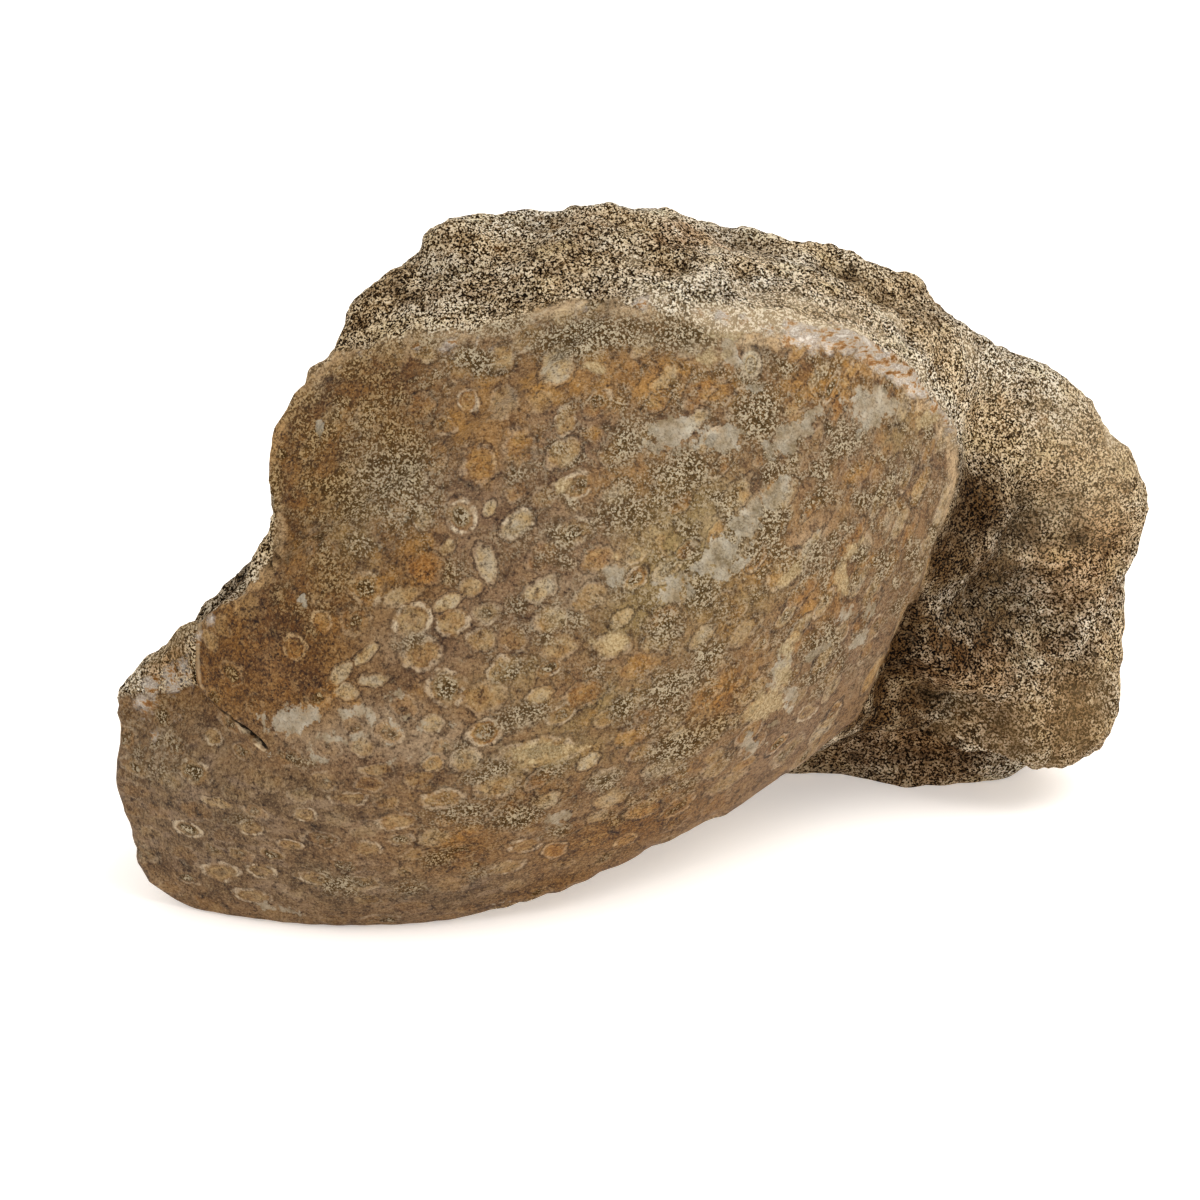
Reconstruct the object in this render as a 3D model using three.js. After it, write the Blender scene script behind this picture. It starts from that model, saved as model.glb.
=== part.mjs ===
// A hand-sized piece of fossil coral: one lump of sandy limestone whose front is a smooth,
// worn slice through a coral colony. Millimetres, +Z up, the coral face looks along -Y.
// The origin is under the middle of the stone, on the surface that it stands on.
import * as THREE from 'three';
import { ConvexHull } from 'three/addons/math/ConvexHull.js';
import { ImprovedNoise } from 'three/addons/math/ImprovedNoise.js';
import { TessellateModifier } from 'three/addons/modifiers/TessellateModifier.js';
import { mergeVertices } from 'three/addons/utils/BufferGeometryUtils.js';

// Driving dimensions of the coral face. It bends around a leaning spine, its most forward line.
const BEND_RADIUS = 48;
const SPINE_FOOT_X = -39;
const SPINE_LEAN = 0.42;
const RIM_STEP = 3.8;
const FACE_STEP = 5;
const RIM_CLEARANCE = 3.6;
const RIM_WIDTH = 0.1;
const FACE_SKIN = 3;

// The broken ledge at the lower left, as x and z: left of it the face stands further back.
// It comes straight down from the rim, then bends to the right.
const LEDGE_TOP = new THREE.Vector2(-60, 42);
const LEDGE_FOOT = new THREE.Vector2(-50, 26);
const LEDGE_DEPTH = 2.4;
const LEDGE_BLEND = 4;

// The skin over the landmarks, and how rough the matrix is.
const STONE_HEART = new THREE.Vector3(14, 30, 38);
const MAX_EDGE = 5.3;
const ROUNDING_PASSES = 12;
const ROUNDING_STEPS = [0.55, -0.56];
const LUMPS = [
  { size: 17, height: 0.9 },
  { size: 8, height: 0.4 },
];
const FACE_WAVES = { size: 24, height: 0.5 };
const CRISP_EDGE = 5;

// How far forward the spine stands at each height, as [z, y]: it leans back towards the top,
// is upright at a third of the height and tucks in under it.
const SPINE_PROFILE = curveOf([
  [-8, -29], [0, -36], [10, -41], [22, -44.5], [35, -44.5], [48, -41], [60, -34], [70, -26.5], [77, -20],
  [84, -11],
]);

// Rim of the coral face, as [x, z], from the lower left corner over the top to the right and back.
const RIM = [
  [-67, 1], [-72.5, 14], [-72, 26], [-67, 34.5], [-60, 41], [-52, 48], [-50, 53], [-52, 59], [-50, 65],
  [-43, 72], [-34, 75], [-24, 77], [-14, 80], [-4, 81.5], [7, 81], [19, 77.5], [29, 73.5], [36, 67],
  [41.5, 57], [41, 45], [36, 31], [29, 20], [19, 12.5], [8, 9], [-8, 4.5], [-20, 1.8], [-30, 0], [-52, 0],
];

// Landmarks on the rough matrix behind the face, as [x, y, z].
const CREST = [
  [-57, -9, 41], [-51, -7, 46], [-48, -6, 56], [-46, -6, 68], [-42, 0, 79], [-34, 4, 82], [-30, 8, 85.5],
  [-22, 10, 86], [-14, 11, 87.5], [-1, 12, 88.5], [7, 15, 84.5], [15, 18, 81], [23, 20, 80.5],
  [31, 23, 78.5], [40, 26, 71.5], [50.5, 27, 64], [60, 27, 58], [67, 26, 53], [72, 25, 46],
];
const SHOULDER = [
  [-30, -4, 80], [-12, -4, 83.5], [4, -3, 84], [18, 3, 80.5], [29, 7, 77], [38, 8, 71.5], [46, 14, 64.5],
];
const RIGHT_LOBE = [
  [73.5, 22, 41], [70.5, 18, 31], [71, 16, 23], [69.5, 14, 15], [44.5, 12, 52], [51, 15, 57], [59, 17, 54],
  [46, 17, 41], [53, 12.5, 47], [62, 12, 46], [69, 16, 42], [43, 13, 30], [51, 11.5, 36], [60, 9, 35],
  [67, 11, 30], [36, 11, 21],
];
const TOE = [
  [39, 5, 19], [46, 0, 20], [55, 1, 19], [63, 7, 17], [35, 9, 14.5], [38, 4, 12], [45, -1, 9.5],
  [53, -1, 8], [63, 4, 4.5], [68, 9, 10], [53, 8, 8], [62, 14, 7],
];
const FOOT = [
  [28, 12, 8], [31, 12, 3], [23, 18, -2], [32, 13, -2.5], [41, 11, -2.5], [49, 14, -2], [52, 21, -2],
  [46, 28, -2.5], [32, 27, -2.5], [61, 22, 7],
];
const UNDERSIDE = [
  [-60, -24, 0.8], [-53, -28, -1], [-40, -29, -1.5], [-27, -29, -1], [-46, -12, 2.5], [-25, -12, 3],
  [-5, -12, 5], [12, 0, 7], [-48, 8, 4], [-25, 18, 2.5], [8, 20, 4], [-22, 32, -2.5], [-10, 37, -2.5],
  [1, 32, -2.5], [-11, 26, -2.5], [18, 36, 4],
];
const BACK = [
  [-64, -8, 14], [-65, -10, 26], [-58, 8, 24], [-50, 22, 12], [-46, 12, 40], [-44, 14, 58], [-36, 18, 74],
  [-16, 26, 80], [4, 29, 79], [24, 34, 71], [42, 37, 60], [57, 37, 48], [-44, 30, 28], [-38, 30, 50],
  [-20, 39, 62], [0, 42, 60], [22, 43, 54], [42, 43, 42], [62, 34, 30], [-30, 39, 16], [-22, 42, 38],
  [2, 45, 40], [24, 46, 30], [46, 41, 22], [58, 31, 14], [-10, 43, 12], [14, 44, 12], [36, 40, 8],
];

function curveOf(pairs) {
  return new THREE.CatmullRomCurve3(pairs.map(([z, y]) => new THREE.Vector3(z, y, 0)));
}

function spineDepth(z) {
  const points = SPINE_PROFILE.getPoints(120);
  const above = Math.max(1, points.findIndex((point) => point.x >= z));
  const [low, high] = [points[above - 1], points[above]];
  return THREE.MathUtils.mapLinear(z, low.x, high.x, low.y, high.y);
}

// How far behind the unbroken face the ledge puts a spot.
function ledgeDepth(x, z) {
  const along = (z - LEDGE_FOOT.y) / (LEDGE_TOP.y - LEDGE_FOOT.y);
  const edgeX = THREE.MathUtils.lerp(LEDGE_TOP.x, LEDGE_FOOT.x, (1 - along) ** 2);
  const side = THREE.MathUtils.smoothstep(edgeX - x, 0, LEDGE_BLEND);
  const fade = THREE.MathUtils.smoothstep(along, -0.4, 0.3);
  return LEDGE_DEPTH * side * fade;
}

// The y of the coral face at a given x and z.
function faceDepth(x, z) {
  const spineX = SPINE_FOOT_X + SPINE_LEAN * z;
  return spineDepth(z) + (x - spineX) ** 2 / (2 * BEND_RADIUS) + ledgeDepth(x, z);
}

function makeRim() {
  const curve = new THREE.CatmullRomCurve3(RIM.map(([x, z]) => new THREE.Vector3(x, 0, z)), true);
  const steps = Math.round(curve.getLength() / RIM_STEP);
  return curve.getSpacedPoints(steps).slice(0, steps);
}

const rim = makeRim();

// Distance from the rim in the face's own x and z, positive inside it.
function distanceInside(x, z) {
  const spot = new THREE.Vector3(x, 0, z);
  const onEdge = new THREE.Vector3();
  let nearest = Infinity;
  let inside = false;
  rim.forEach((start, i) => {
    const end = rim[(i + 1) % rim.length];
    new THREE.Line3(start, end).closestPointToPoint(spot, true, onEdge);
    nearest = Math.min(nearest, onEdge.distanceTo(spot));
    const crosses = (start.z > z) !== (end.z > z);
    if (crosses && x < THREE.MathUtils.mapLinear(z, start.z, end.z, start.x, end.x)) inside = !inside;
  });
  return inside ? nearest : -nearest;
}

// Points on the coral face: its rim, and staggered rows inside it.
function facePoints() {
  const points = rim.map(({ x, z }) => new THREE.Vector3(x, faceDepth(x, z), z));
  const bounds = new THREE.Box3().setFromPoints(rim);
  const rowHeight = FACE_STEP * Math.sin(Math.PI / 3);
  for (let row = 0; bounds.min.z + row * rowHeight < bounds.max.z; row += 1) {
    const z = bounds.min.z + row * rowHeight;
    for (let x = bounds.min.x + (row % 2) * FACE_STEP / 2; x < bounds.max.x; x += FACE_STEP) {
      if (distanceInside(x, z) > RIM_CLEARANCE) points.push(new THREE.Vector3(x, faceDepth(x, z), z));
    }
  }
  return points;
}

// Stretches a closed skin of triangles over points that all can be seen from the stone's heart:
// the hull of their directions says which points are neighbours.
function stretchSkin(points) {
  const pointAt = new Map(points.map((point) => [point.clone().sub(STONE_HEART).normalize(), point]));
  const hull = new ConvexHull().setFromPoints([...pointAt.keys()]);
  const corners = hull.faces.flatMap((face) => {
    const { edge } = face;
    return [edge, edge.next, edge.next.next].map((side) => pointAt.get(side.head().point));
  });
  const coarse = new THREE.BufferGeometry().setFromPoints(corners);
  const fine = new TessellateModifier(MAX_EDGE, 12).modify(coarse);
  return mergeVertices(fine, 1e-3);
}

function vectorsOf(attribute) {
  const indices = Array.from({ length: attribute.count }, (_, i) => i);
  return indices.map((i) => new THREE.Vector3().fromBufferAttribute(attribute, i));
}

function isOnFace({ x, y, z }) {
  return distanceInside(x, z) > -RIM_WIDTH && y < faceDepth(x, z) + FACE_SKIN;
}

function neighboursOf(geometry) {
  const neighbours = Array.from({ length: geometry.attributes.position.count }, () => new Set());
  const index = geometry.index.array;
  for (let i = 0; i < index.length; i += 3) {
    for (let side = 0; side < 3; side += 1) {
      const [from, to] = [index[i + side], index[i + (side + 1) % 3]];
      neighbours[from].add(to);
      neighbours[to].add(from);
    }
  }
  return neighbours;
}

// Rounds the matrix between its landmarks, in and out by turns so that it doesn't shrink,
// and leaves the coral face as it is.
function roundMatrix(points, neighbours, onFace) {
  const steps = Array.from({ length: ROUNDING_PASSES }, () => ROUNDING_STEPS).flat();
  steps.forEach((step) => {
    const moved = points.map((point, i) => {
      if (onFace[i]) return point;
      const middle = new THREE.Vector3();
      neighbours[i].forEach((j) => middle.add(points[j]));
      return point.clone().lerp(middle.divideScalar(neighbours[i].size), step);
    });
    moved.forEach((point, i) => points[i].copy(point));
  });
}

const perlin = new ImprovedNoise();

function noiseAt(point, { size, height }) {
  return height * perlin.noise(point.x / size + 31.7, point.y / size + 12.3, point.z / size + 57.1) * 2;
}

// Lumps and hollows in the matrix, and long, low waves in the coral face.
function roughen(points, normals, onFace) {
  points.forEach((point, i) => {
    if (onFace[i]) {
      point.y += noiseAt(point, FACE_WAVES);
      return;
    }
    const behindFace = point.y - faceDepth(point.x, point.z);
    const fade = distanceInside(point.x, point.z) > -CRISP_EDGE
      ? THREE.MathUtils.smoothstep(behindFace, 0, CRISP_EDGE)
      : 1;
    const height = LUMPS.reduce((sum, lump) => sum + noiseAt(point, lump), 0);
    point.addScaledVector(normals[i], height * fade);
  });
}

function makeStone() {
  const matrixPoints = [CREST, SHOULDER, RIGHT_LOBE, TOE, FOOT, UNDERSIDE, BACK].flat();
  const landmarks = matrixPoints.map((place) => new THREE.Vector3(...place));
  const geometry = stretchSkin([...facePoints(), ...landmarks]);
  const { position } = geometry.attributes;
  const points = vectorsOf(position);
  const onFace = points.map(isOnFace);
  points.forEach((point, i) => {
    if (onFace[i]) point.y = faceDepth(point.x, point.z);
  });
  roundMatrix(points, neighboursOf(geometry), onFace);
  position.copyArray(points.flatMap((point) => point.toArray()));
  geometry.computeVertexNormals();
  const normals = vectorsOf(geometry.attributes.normal);
  roughen(points, normals, onFace);
  points.forEach((point) => {
    point.z = Math.max(point.z, 0);
  });
  position.copyArray(points.flatMap((point) => point.toArray()));
  geometry.deleteAttribute('normal');
  geometry.computeBoundingBox();
  const middle = geometry.boundingBox.getCenter(new THREE.Vector3());
  return geometry.translate(-middle.x, -middle.y, 0);
}

const limestone = new THREE.MeshStandardMaterial({ color: '#7d6a50', roughness: 0.85, metalness: 0 });

const stone = new THREE.Mesh(makeStone(), limestone);
stone.name = 'fossil_coral_stone';

const group = new THREE.Group();
group.add(stone);

export default group;
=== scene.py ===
import math
import random

import bmesh
import bpy
import numpy as np
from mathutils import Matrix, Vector, noise


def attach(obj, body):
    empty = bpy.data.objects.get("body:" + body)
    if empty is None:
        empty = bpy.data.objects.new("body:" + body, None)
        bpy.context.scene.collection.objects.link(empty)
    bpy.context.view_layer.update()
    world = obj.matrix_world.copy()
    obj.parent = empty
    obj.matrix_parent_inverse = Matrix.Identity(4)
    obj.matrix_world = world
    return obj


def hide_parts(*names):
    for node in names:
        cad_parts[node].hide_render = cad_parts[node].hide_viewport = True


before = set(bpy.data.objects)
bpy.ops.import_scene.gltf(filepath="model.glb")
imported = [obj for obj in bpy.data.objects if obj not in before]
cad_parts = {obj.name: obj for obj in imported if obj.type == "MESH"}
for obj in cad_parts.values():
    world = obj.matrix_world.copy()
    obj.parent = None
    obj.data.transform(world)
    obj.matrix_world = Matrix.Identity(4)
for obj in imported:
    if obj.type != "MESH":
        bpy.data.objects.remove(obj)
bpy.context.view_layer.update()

# ---------------------------------------------------------------------------
# The stone
# One lump of sandy limestone. It broke off along a fossil coral colony, and the
# sea wore the front down to a smooth leaf-shaped face that cuts through the
# colony. Back, ends and right lobe are the broken, grainy inside of the bed.
# ---------------------------------------------------------------------------
MM = 0.001  # the stone is shaped in millimetres and then brought to metres
OUTLINE_ZERO = Vector((0.24, -0.522, 0.0))  # where the outline is measured from
SKIN_LEVELS = 2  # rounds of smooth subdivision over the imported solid
SAME_CORNER = 0.00001  # corners nearer than this, in metres, are one

whole = bmesh.new()
whole.from_mesh(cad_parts["fossil_coral_stone"].data)
bmesh.ops.remove_doubles(whole, verts=whole.verts, dist=SAME_CORNER)
skin_mesh = bpy.data.meshes.new("fossil_coral")
whole.to_mesh(skin_mesh)
whole.free()
stone = bpy.data.objects.new("fossil_coral", skin_mesh)
bpy.context.scene.collection.objects.link(stone)
rounding = stone.modifiers.new("rounding", "SUBSURF")
rounding.levels = SKIN_LEVELS
rounding.render_levels = SKIN_LEVELS
rounded = stone.evaluated_get(bpy.context.evaluated_depsgraph_get())
skin_mesh = bpy.data.meshes.new_from_object(rounded)
stone.modifiers.clear()
stone.data = skin_mesh
skin_mesh.materials.clear()

# The worn face: a leaf outline on a gently rolled sheet whose highest line, the
# spine, leans to the right. Heights (z) and forward places (y) run up the spine.
SPINE_PROFILE = [
    (-8, -29), (0, -36), (10, -41), (22, -44.5), (35, -44.5), (48, -41), (60, -34), (70, -26.5),
    (77, -20), (84, -11),
]
SPINE_FOOT_X = -39
SPINE_LEAN = 0.42
BEND_RADIUS = 48
RIM = [
    (-67, 1), (-72.5, 14), (-72, 26), (-67, 34.5), (-60, 41), (-52, 48), (-50, 53), (-52, 59),
    (-50, 65), (-43, 72), (-34, 75), (-24, 77), (-14, 80), (-4, 80.5), (3, 79), (8, 77.2),
    (14, 76.6), (20, 75.6), (26, 73.6), (31, 70.5), (36, 66), (41.5, 57), (41, 45), (36, 31),
    (29, 20), (19, 12.5), (8, 9), (-8, 4.5), (-20, 1.8), (-30, 0), (-52, 0),
]
# The step where a flake came off the left lobe, from its top to the open crack
# at its foot.
LEDGE = [
    (-57, 44), (-59.6, 42), (-60.6, 39.5), (-60.6, 36), (-60.2, 33), (-57.6, 31.2), (-55, 30),
    (-52.6, 28.6), (-50.4, 27.2),
]
LEDGE_DEPTH = 3.0  # how far the lobe lies behind it
STEP_WIDTH, STEP_WIDENS = 0.7, 4.5  # its width at the top, and how much more at the foot
LEDGE_FADES = (19.5, 31)  # the heights between which it dies out


def smooth_line(points, steps, closed):
    """A smooth line through the points, with so many steps between two."""
    count = len(points)
    line = []
    for i in range(count if closed else count - 1):
        near = [
            points[(i + k) % count] if closed else points[min(max(i + k, 0), count - 1)]
            for k in (-1, 0, 1, 2)
        ]
        a, b, c, d = (np.array(point, float) for point in near)
        for t in np.arange(steps) / steps:
            straight = 2 * b + (c - a) * t
            square = (2 * a - 5 * b + 4 * c - d) * t**2
            cube = (3 * b - a - 3 * c + d) * t**3
            line.append(0.5 * (straight + square + cube))
    if not closed:
        line.append(np.array(points[-1], float))
    return np.array(line)


def ease(value, start, end):
    """0 up to start, 1 from end on, and an S-shaped rise between."""
    t = np.clip((value - start) / (end - start), 0.0, 1.0)
    return t * t * (3.0 - 2.0 * t)


def inside_rim(x, z):
    """How many millimetres a place lies inside the worn face's outline."""
    outline = smooth_line(RIM, 6, True)
    nearest = np.full(x.shape, 1e9)
    within = np.zeros(x.shape, bool)
    for (ax, az), (bx, bz) in zip(outline, np.roll(outline, -1, axis=0)):
        dx, dz = bx - ax, bz - az
        t = np.clip(((x - ax) * dx + (z - az) * dz) / (dx * dx + dz * dz), 0, 1)
        nearest = np.minimum(nearest, np.hypot(x - ax - t * dx, z - az - t * dz))
        if dz:
            crosses = (az > z) != (bz > z)
            within ^= crosses & (x < ax + dx * (z - az) / dz)
    return np.where(within, nearest, -nearest)


def beside_ledge(x, z):
    """How far a place is below and left of the ledge, and how far along it."""
    line = smooth_line(LEDGE, 5, False)
    nearest, side, along = np.full(x.shape, 1e9), np.zeros(x.shape), np.zeros(x.shape)
    for i, ((ax, az), (bx, bz)) in enumerate(zip(line[:-1], line[1:])):
        dx, dz = bx - ax, bz - az
        t = np.clip(((x - ax) * dx + (z - az) * dz) / (dx * dx + dz * dz), 0, 1)
        away = np.hypot(x - ax - t * dx, z - az - t * dz)
        closer = away < nearest
        nearest = np.where(closer, away, nearest)
        turned = dx * (z - az) - dz * (x - ax)
        side = np.where(closer, np.where(turned < 0, away, -away), side)
        along = np.where(closer, (i + t) / (len(line) - 1), along)
    return side, along


def face_front(x, z):
    """The forward place (y) of the worn face."""
    profile = smooth_line(SPINE_PROFILE, 12, False)
    spine_x = SPINE_FOOT_X + SPINE_LEAN * z
    side, along = beside_ledge(x, z)
    step = ease(side / (STEP_WIDTH + STEP_WIDENS * ease(along, 0.5, 1.0)), 0, 1)
    bend = (x - spine_x) ** 2 / (2 * BEND_RADIUS)
    ledge = LEDGE_DEPTH * step * ease(z, *LEDGE_FADES)
    return np.interp(z, profile[:, 0], profile[:, 1]) + bend + ledge


LUMP_FALL, LUMP_STEP = 0.9, 2.1  # how lumps in a fractal noise shrink in height and size


def noise_over(places, size, octaves, start):
    """Noise of about -1 to 1 at each place, its lumps about size apart."""
    shift = Vector((start, -start, 2.0 * start))
    if octaves == 1:
        return np.array([noise.noise(Vector(p) / size + shift) for p in places])
    return np.array(
        [noise.fractal(Vector(p) / size + shift, LUMP_FALL, LUMP_STEP, octaves) for p in places]
    )


def lumps_over(places, lumps, octaves, start):
    """Relief from lumps of several sizes and heights."""
    return sum(height * noise_over(places, size, octaves, start) for size, height in lumps)


def read(mesh, kind, field, width):
    """A mesh's own numbers, as rows of the width."""
    flat = np.zeros(len(getattr(mesh, kind)) * width)
    getattr(mesh, kind).foreach_get(field, flat)
    return flat.reshape(-1, width)


def write_places(mesh, places):
    """Puts every vertex at its place, in millimetres from the outline's zero."""
    mesh.vertices.foreach_set("co", ((places + np.array(OUTLINE_ZERO)) * MM).ravel())
    mesh.update()


def read_places(mesh):
    """Every vertex's place, in millimetres from the outline's zero."""
    return read(mesh, "vertices", "co", 3) / MM - np.array(OUTLINE_ZERO)


# The skin is cut finer along the ledge, where the crack is, twice over.
CUT_REACHES = (1.5, 0.8)
CUT_BEFORE_Y = -20
CUT_FROM = 0.15  # of the way along the ledge
for reach in CUT_REACHES:
    finer = bmesh.new()
    finer.from_mesh(skin_mesh)
    x, y, z = read_places(skin_mesh).T
    side, along = beside_ledge(x, z)
    close = (np.abs(side) < reach) & (y < CUT_BEFORE_Y) & (along > CUT_FROM)
    cut = [e for e in finer.edges if close[e.verts[0].index] and close[e.verts[1].index]]
    bmesh.ops.subdivide_edges(finer, edges=cut, cuts=1, use_grid_fill=True)
    bmesh.ops.triangulate(finer, faces=[f for f in finer.faces if len(f.verts) > 4])
    finer.to_mesh(skin_mesh)
    finer.free()

places = read_places(skin_mesh)
normals = read(skin_mesh, "vertices", "normal", 3)
x, y, z = places.T
# The flank over the left lobe is a fresh break, not worn: all that lies above a
# line through this place, which rises by so much to the right.
FLANK_X, FLANK_Z, FLANK_RISE, FLANK_END_X = -60.5, 32.6, 0.45, -60.4
FAR = 6.0  # far enough from an edge to count as clear of it
flank = z - FLANK_Z - FLANK_RISE * (x - FLANK_X)
flank = np.where(x < FLANK_END_X, flank, -FAR)
depth_in = np.minimum(inside_rim(x, z), -flank)
# The top edge of the face is crisp, and its right and lower edges are rolled.
lower_right = x * 0.6 - z + 38
edge_roll = 0.8 + 3.4 * ease(lower_right, 0, 26) + 2.5 * ease(-x - 62, 0, 6)
in_front = ease(4.5 - np.abs(y - face_front(x, z)), 0, 1.5) * (normals[:, 1] < 0.35)
worn = ease(depth_in, 0, edge_roll) * in_front
y = y + worn * (face_front(x, z) - y)

# The crack is a hairline along the ledge that opens at its foot, with a pale
# raised lip under it.
CRACK_DEPTH = 1.3
LIP_HEIGHT = 0.3
side, along = beside_ledge(x, z)
open_foot = ease(along, 0.74, 0.84) * ease(1.0 - along, 0.02, 0.09)
crack_half = 0.13 + 0.14 * open_foot
crack_open = ease(along, 0.4, 0.62) * ease(1.0 - along, 0.0, 0.05) * (0.35 + 0.65 * open_foot)
crack = np.exp(-(((side - 0.1) / crack_half) ** 2)) * crack_open * in_front
lip = np.exp(-(((side - 0.7) / 0.35) ** 2)) * ease(along, 0.6, 0.85) * in_front
shut_end = ease(1.0 - along, 0.0, 0.04)
hairline = ease(along, 0.3, 0.45) * shut_end * in_front * (0.5 + 0.5 * ease(along, 0.6, 0.85))
lip_rise = ease(along, 0.62, 0.82) + 0.5 * ease(along, 0.05, 0.2) * ease(0.62 - along, 0.0, 0.2)
lip_clear = in_front * lip_rise * shut_end
y = y + CRACK_DEPTH * crack - LIP_HEIGHT * lip
places = np.stack([x, y, z], 1)
worn_depth = np.where(in_front > 0.3, depth_in, -FAR).clip(-FAR, FAR)

# Relief: broad waves on the worn face, and lumps and hollows on the broken
# matrix, larger at the back. Each is a size and a height. The stone's foot stays
# flat on what it stands on.
WAVES = [(24, 0.4), (7, 0.14)]
LUMPS = [(13, 1.0), (6.0, 0.8)]
FINE_LUMPS = [(3.0, 0.42), (1.7, 0.3)]
BACK_LUMPS = [(17, 1.1), (7, 0.7)]
# Places knocked in or left proud on the matrix: where, how wide, how high, and
# how far out.
KNOCKS = [
    (-42, -4, 75, 6, 5, -1.5), (-36, 0, 80, 4, 3, -0.8), (-27, 8, 85, 4.5, 4.5, 1.4),
    (-17, 9, 87, 3.5, 4, -1.0), (-10, 9, 87, 3, 4, 0.8), (-2, 10, 87, 4, 4, 0.6),
    (-16, 8, 87, 5, 4, -0.6), (13, 12, 84, 6, 4, -1.4), (41, 21, 70, 7, 5, -1.4),
    (68, 13, 31, 5, 7, -1.3), (67, 17, 44, 3, 3, 0.6), (45, 3, 46, 4, 6, -2.0),
    (41, -4, 41, 4, 5, -1.5), (36, -6, 32, 4, 5, -1.5), (60, 13.5, 38, 8, 0.9, -1.6),
    (52, 12.5, 33, 5, 0.9, -1.3), (56, 11, 29.5, 4, 0.8, -1.0), (48, 6, 41, 4, 1.0, -1.2),
    (62, 11, 35, 5, 0.8, -0.8), (57, 14.5, 42, 9, 2, 0.8), (42, 5, 16.5, 7, 5, 2.2),
    (37, 2, 16.5, 5, 4, 1.6), (49, 4, 17, 7, 5, 1.0), (43, 9, 30, 5, 6, 2.6),
    (48, 10, 28, 5, 4, 1.6), (41, 4, 35, 4, 5, 1.4), (36, -3, 30, 3, 6, -1.0),
    (34, -2, 22, 3, 5, -1.6), (31, -1, 15, 3, 4, -1.6), (-71, -22, 29, 7, 5, 1.3),
    (-70, -20, 11, 7, 3, -1.1), (-64, -22, 2, 7, 3, 1.4), (-55, -20, 45, 6, 5, -1.2),
    (-60, -17, 39, 3, 3, -0.8), (53, 10, 26.5, 4, 0.7, -0.7), (28, 14, 79, 4, 1.5, -1.2),
    (33, 12, 75.5, 3, 1.2, -0.9), (14, 13, 83, 4, 5, -1.4), (36, 14, 73, 4, 4, -1.3),
    (-18, -8, 81, 4, 1.0, -0.8), (-12, -5, 83.5, 4, 0.9, -0.7), (60, 16, 52, 5, 3, 0.7),
    (38, 2, 14, 4, 1.2, -1.0), (45, 12, 5, 6, 1.0, -0.9), (42, 7, 8, 5, 1.0, -0.9),
    (36, 6, 10.5, 4, 1.0, -0.9), (26, 3, 6, 8, 5, -2.2), (36, 5, 8, 6, 3, -1.4),
]
SPOT_FALL = 0.7  # how a spot fades: to a half at its edge
relief = lumps_over(places, WAVES, 1, 3.7)
broken = lumps_over(places, LUMPS, 2, 11.3)
fine = lumps_over(places, FINE_LUMPS, 2, 23.9)
knocked = np.zeros(len(places))
for spot_x, spot_y, spot_z, wide, high, push in KNOCKS:
    deep = max(wide, high)
    away = ((x - spot_x) / wide) ** 2 + ((y - spot_y) / deep) ** 2 + ((z - spot_z) / high) ** 2
    knocked += push * np.exp(-SPOT_FALL * away)
# The rim stays smooth along the lower right, where the sea wore it round.
smooth_rim = ease(lower_right, 0, 14) * ease(7 - np.abs(depth_in), 0, 4)
fine *= 1 - 0.85 * smooth_rim
broken *= 1 - 0.5 * smooth_rim
relief = relief * worn + (broken + fine + knocked) * (1 - worn)
BACK_FROM, BACK_TO = 14, 30
FOOT_FROM, FOOT_TO = 0.5, 5
relief += ease(y, BACK_FROM, BACK_TO) * lumps_over(places, BACK_LUMPS, 2, 31.1)
foot = ease(z, FOOT_FROM, FOOT_TO)
places = places + normals * (relief * foot)[:, None]
places[:, 2] = places[:, 2].clip(0, None)
write_places(skin_mesh, places)
# How low a place lies on the matrix, from 1 in a hollow to -1 on a high spot.
# The material paints hollows darker, as painted shade and dirt, and high spots
# paler, as painted highlight and dust and wear.
low_lying = ((-1.6 * fine - 0.4 * np.minimum(knocked, 0)) * (1 - worn)).clip(-1, 1)

for polygon in skin_mesh.polygons:
    polygon.use_smooth = True


def keep_attribute(mesh, name, kind, domain, values):
    """Stores values on the mesh for the material to read by name."""
    layer = mesh.attributes.new(name, kind, domain)
    field = "vector" if kind == "FLOAT_VECTOR" else "value"
    layer.data.foreach_set(field, np.asarray(values, float).ravel())


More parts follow.
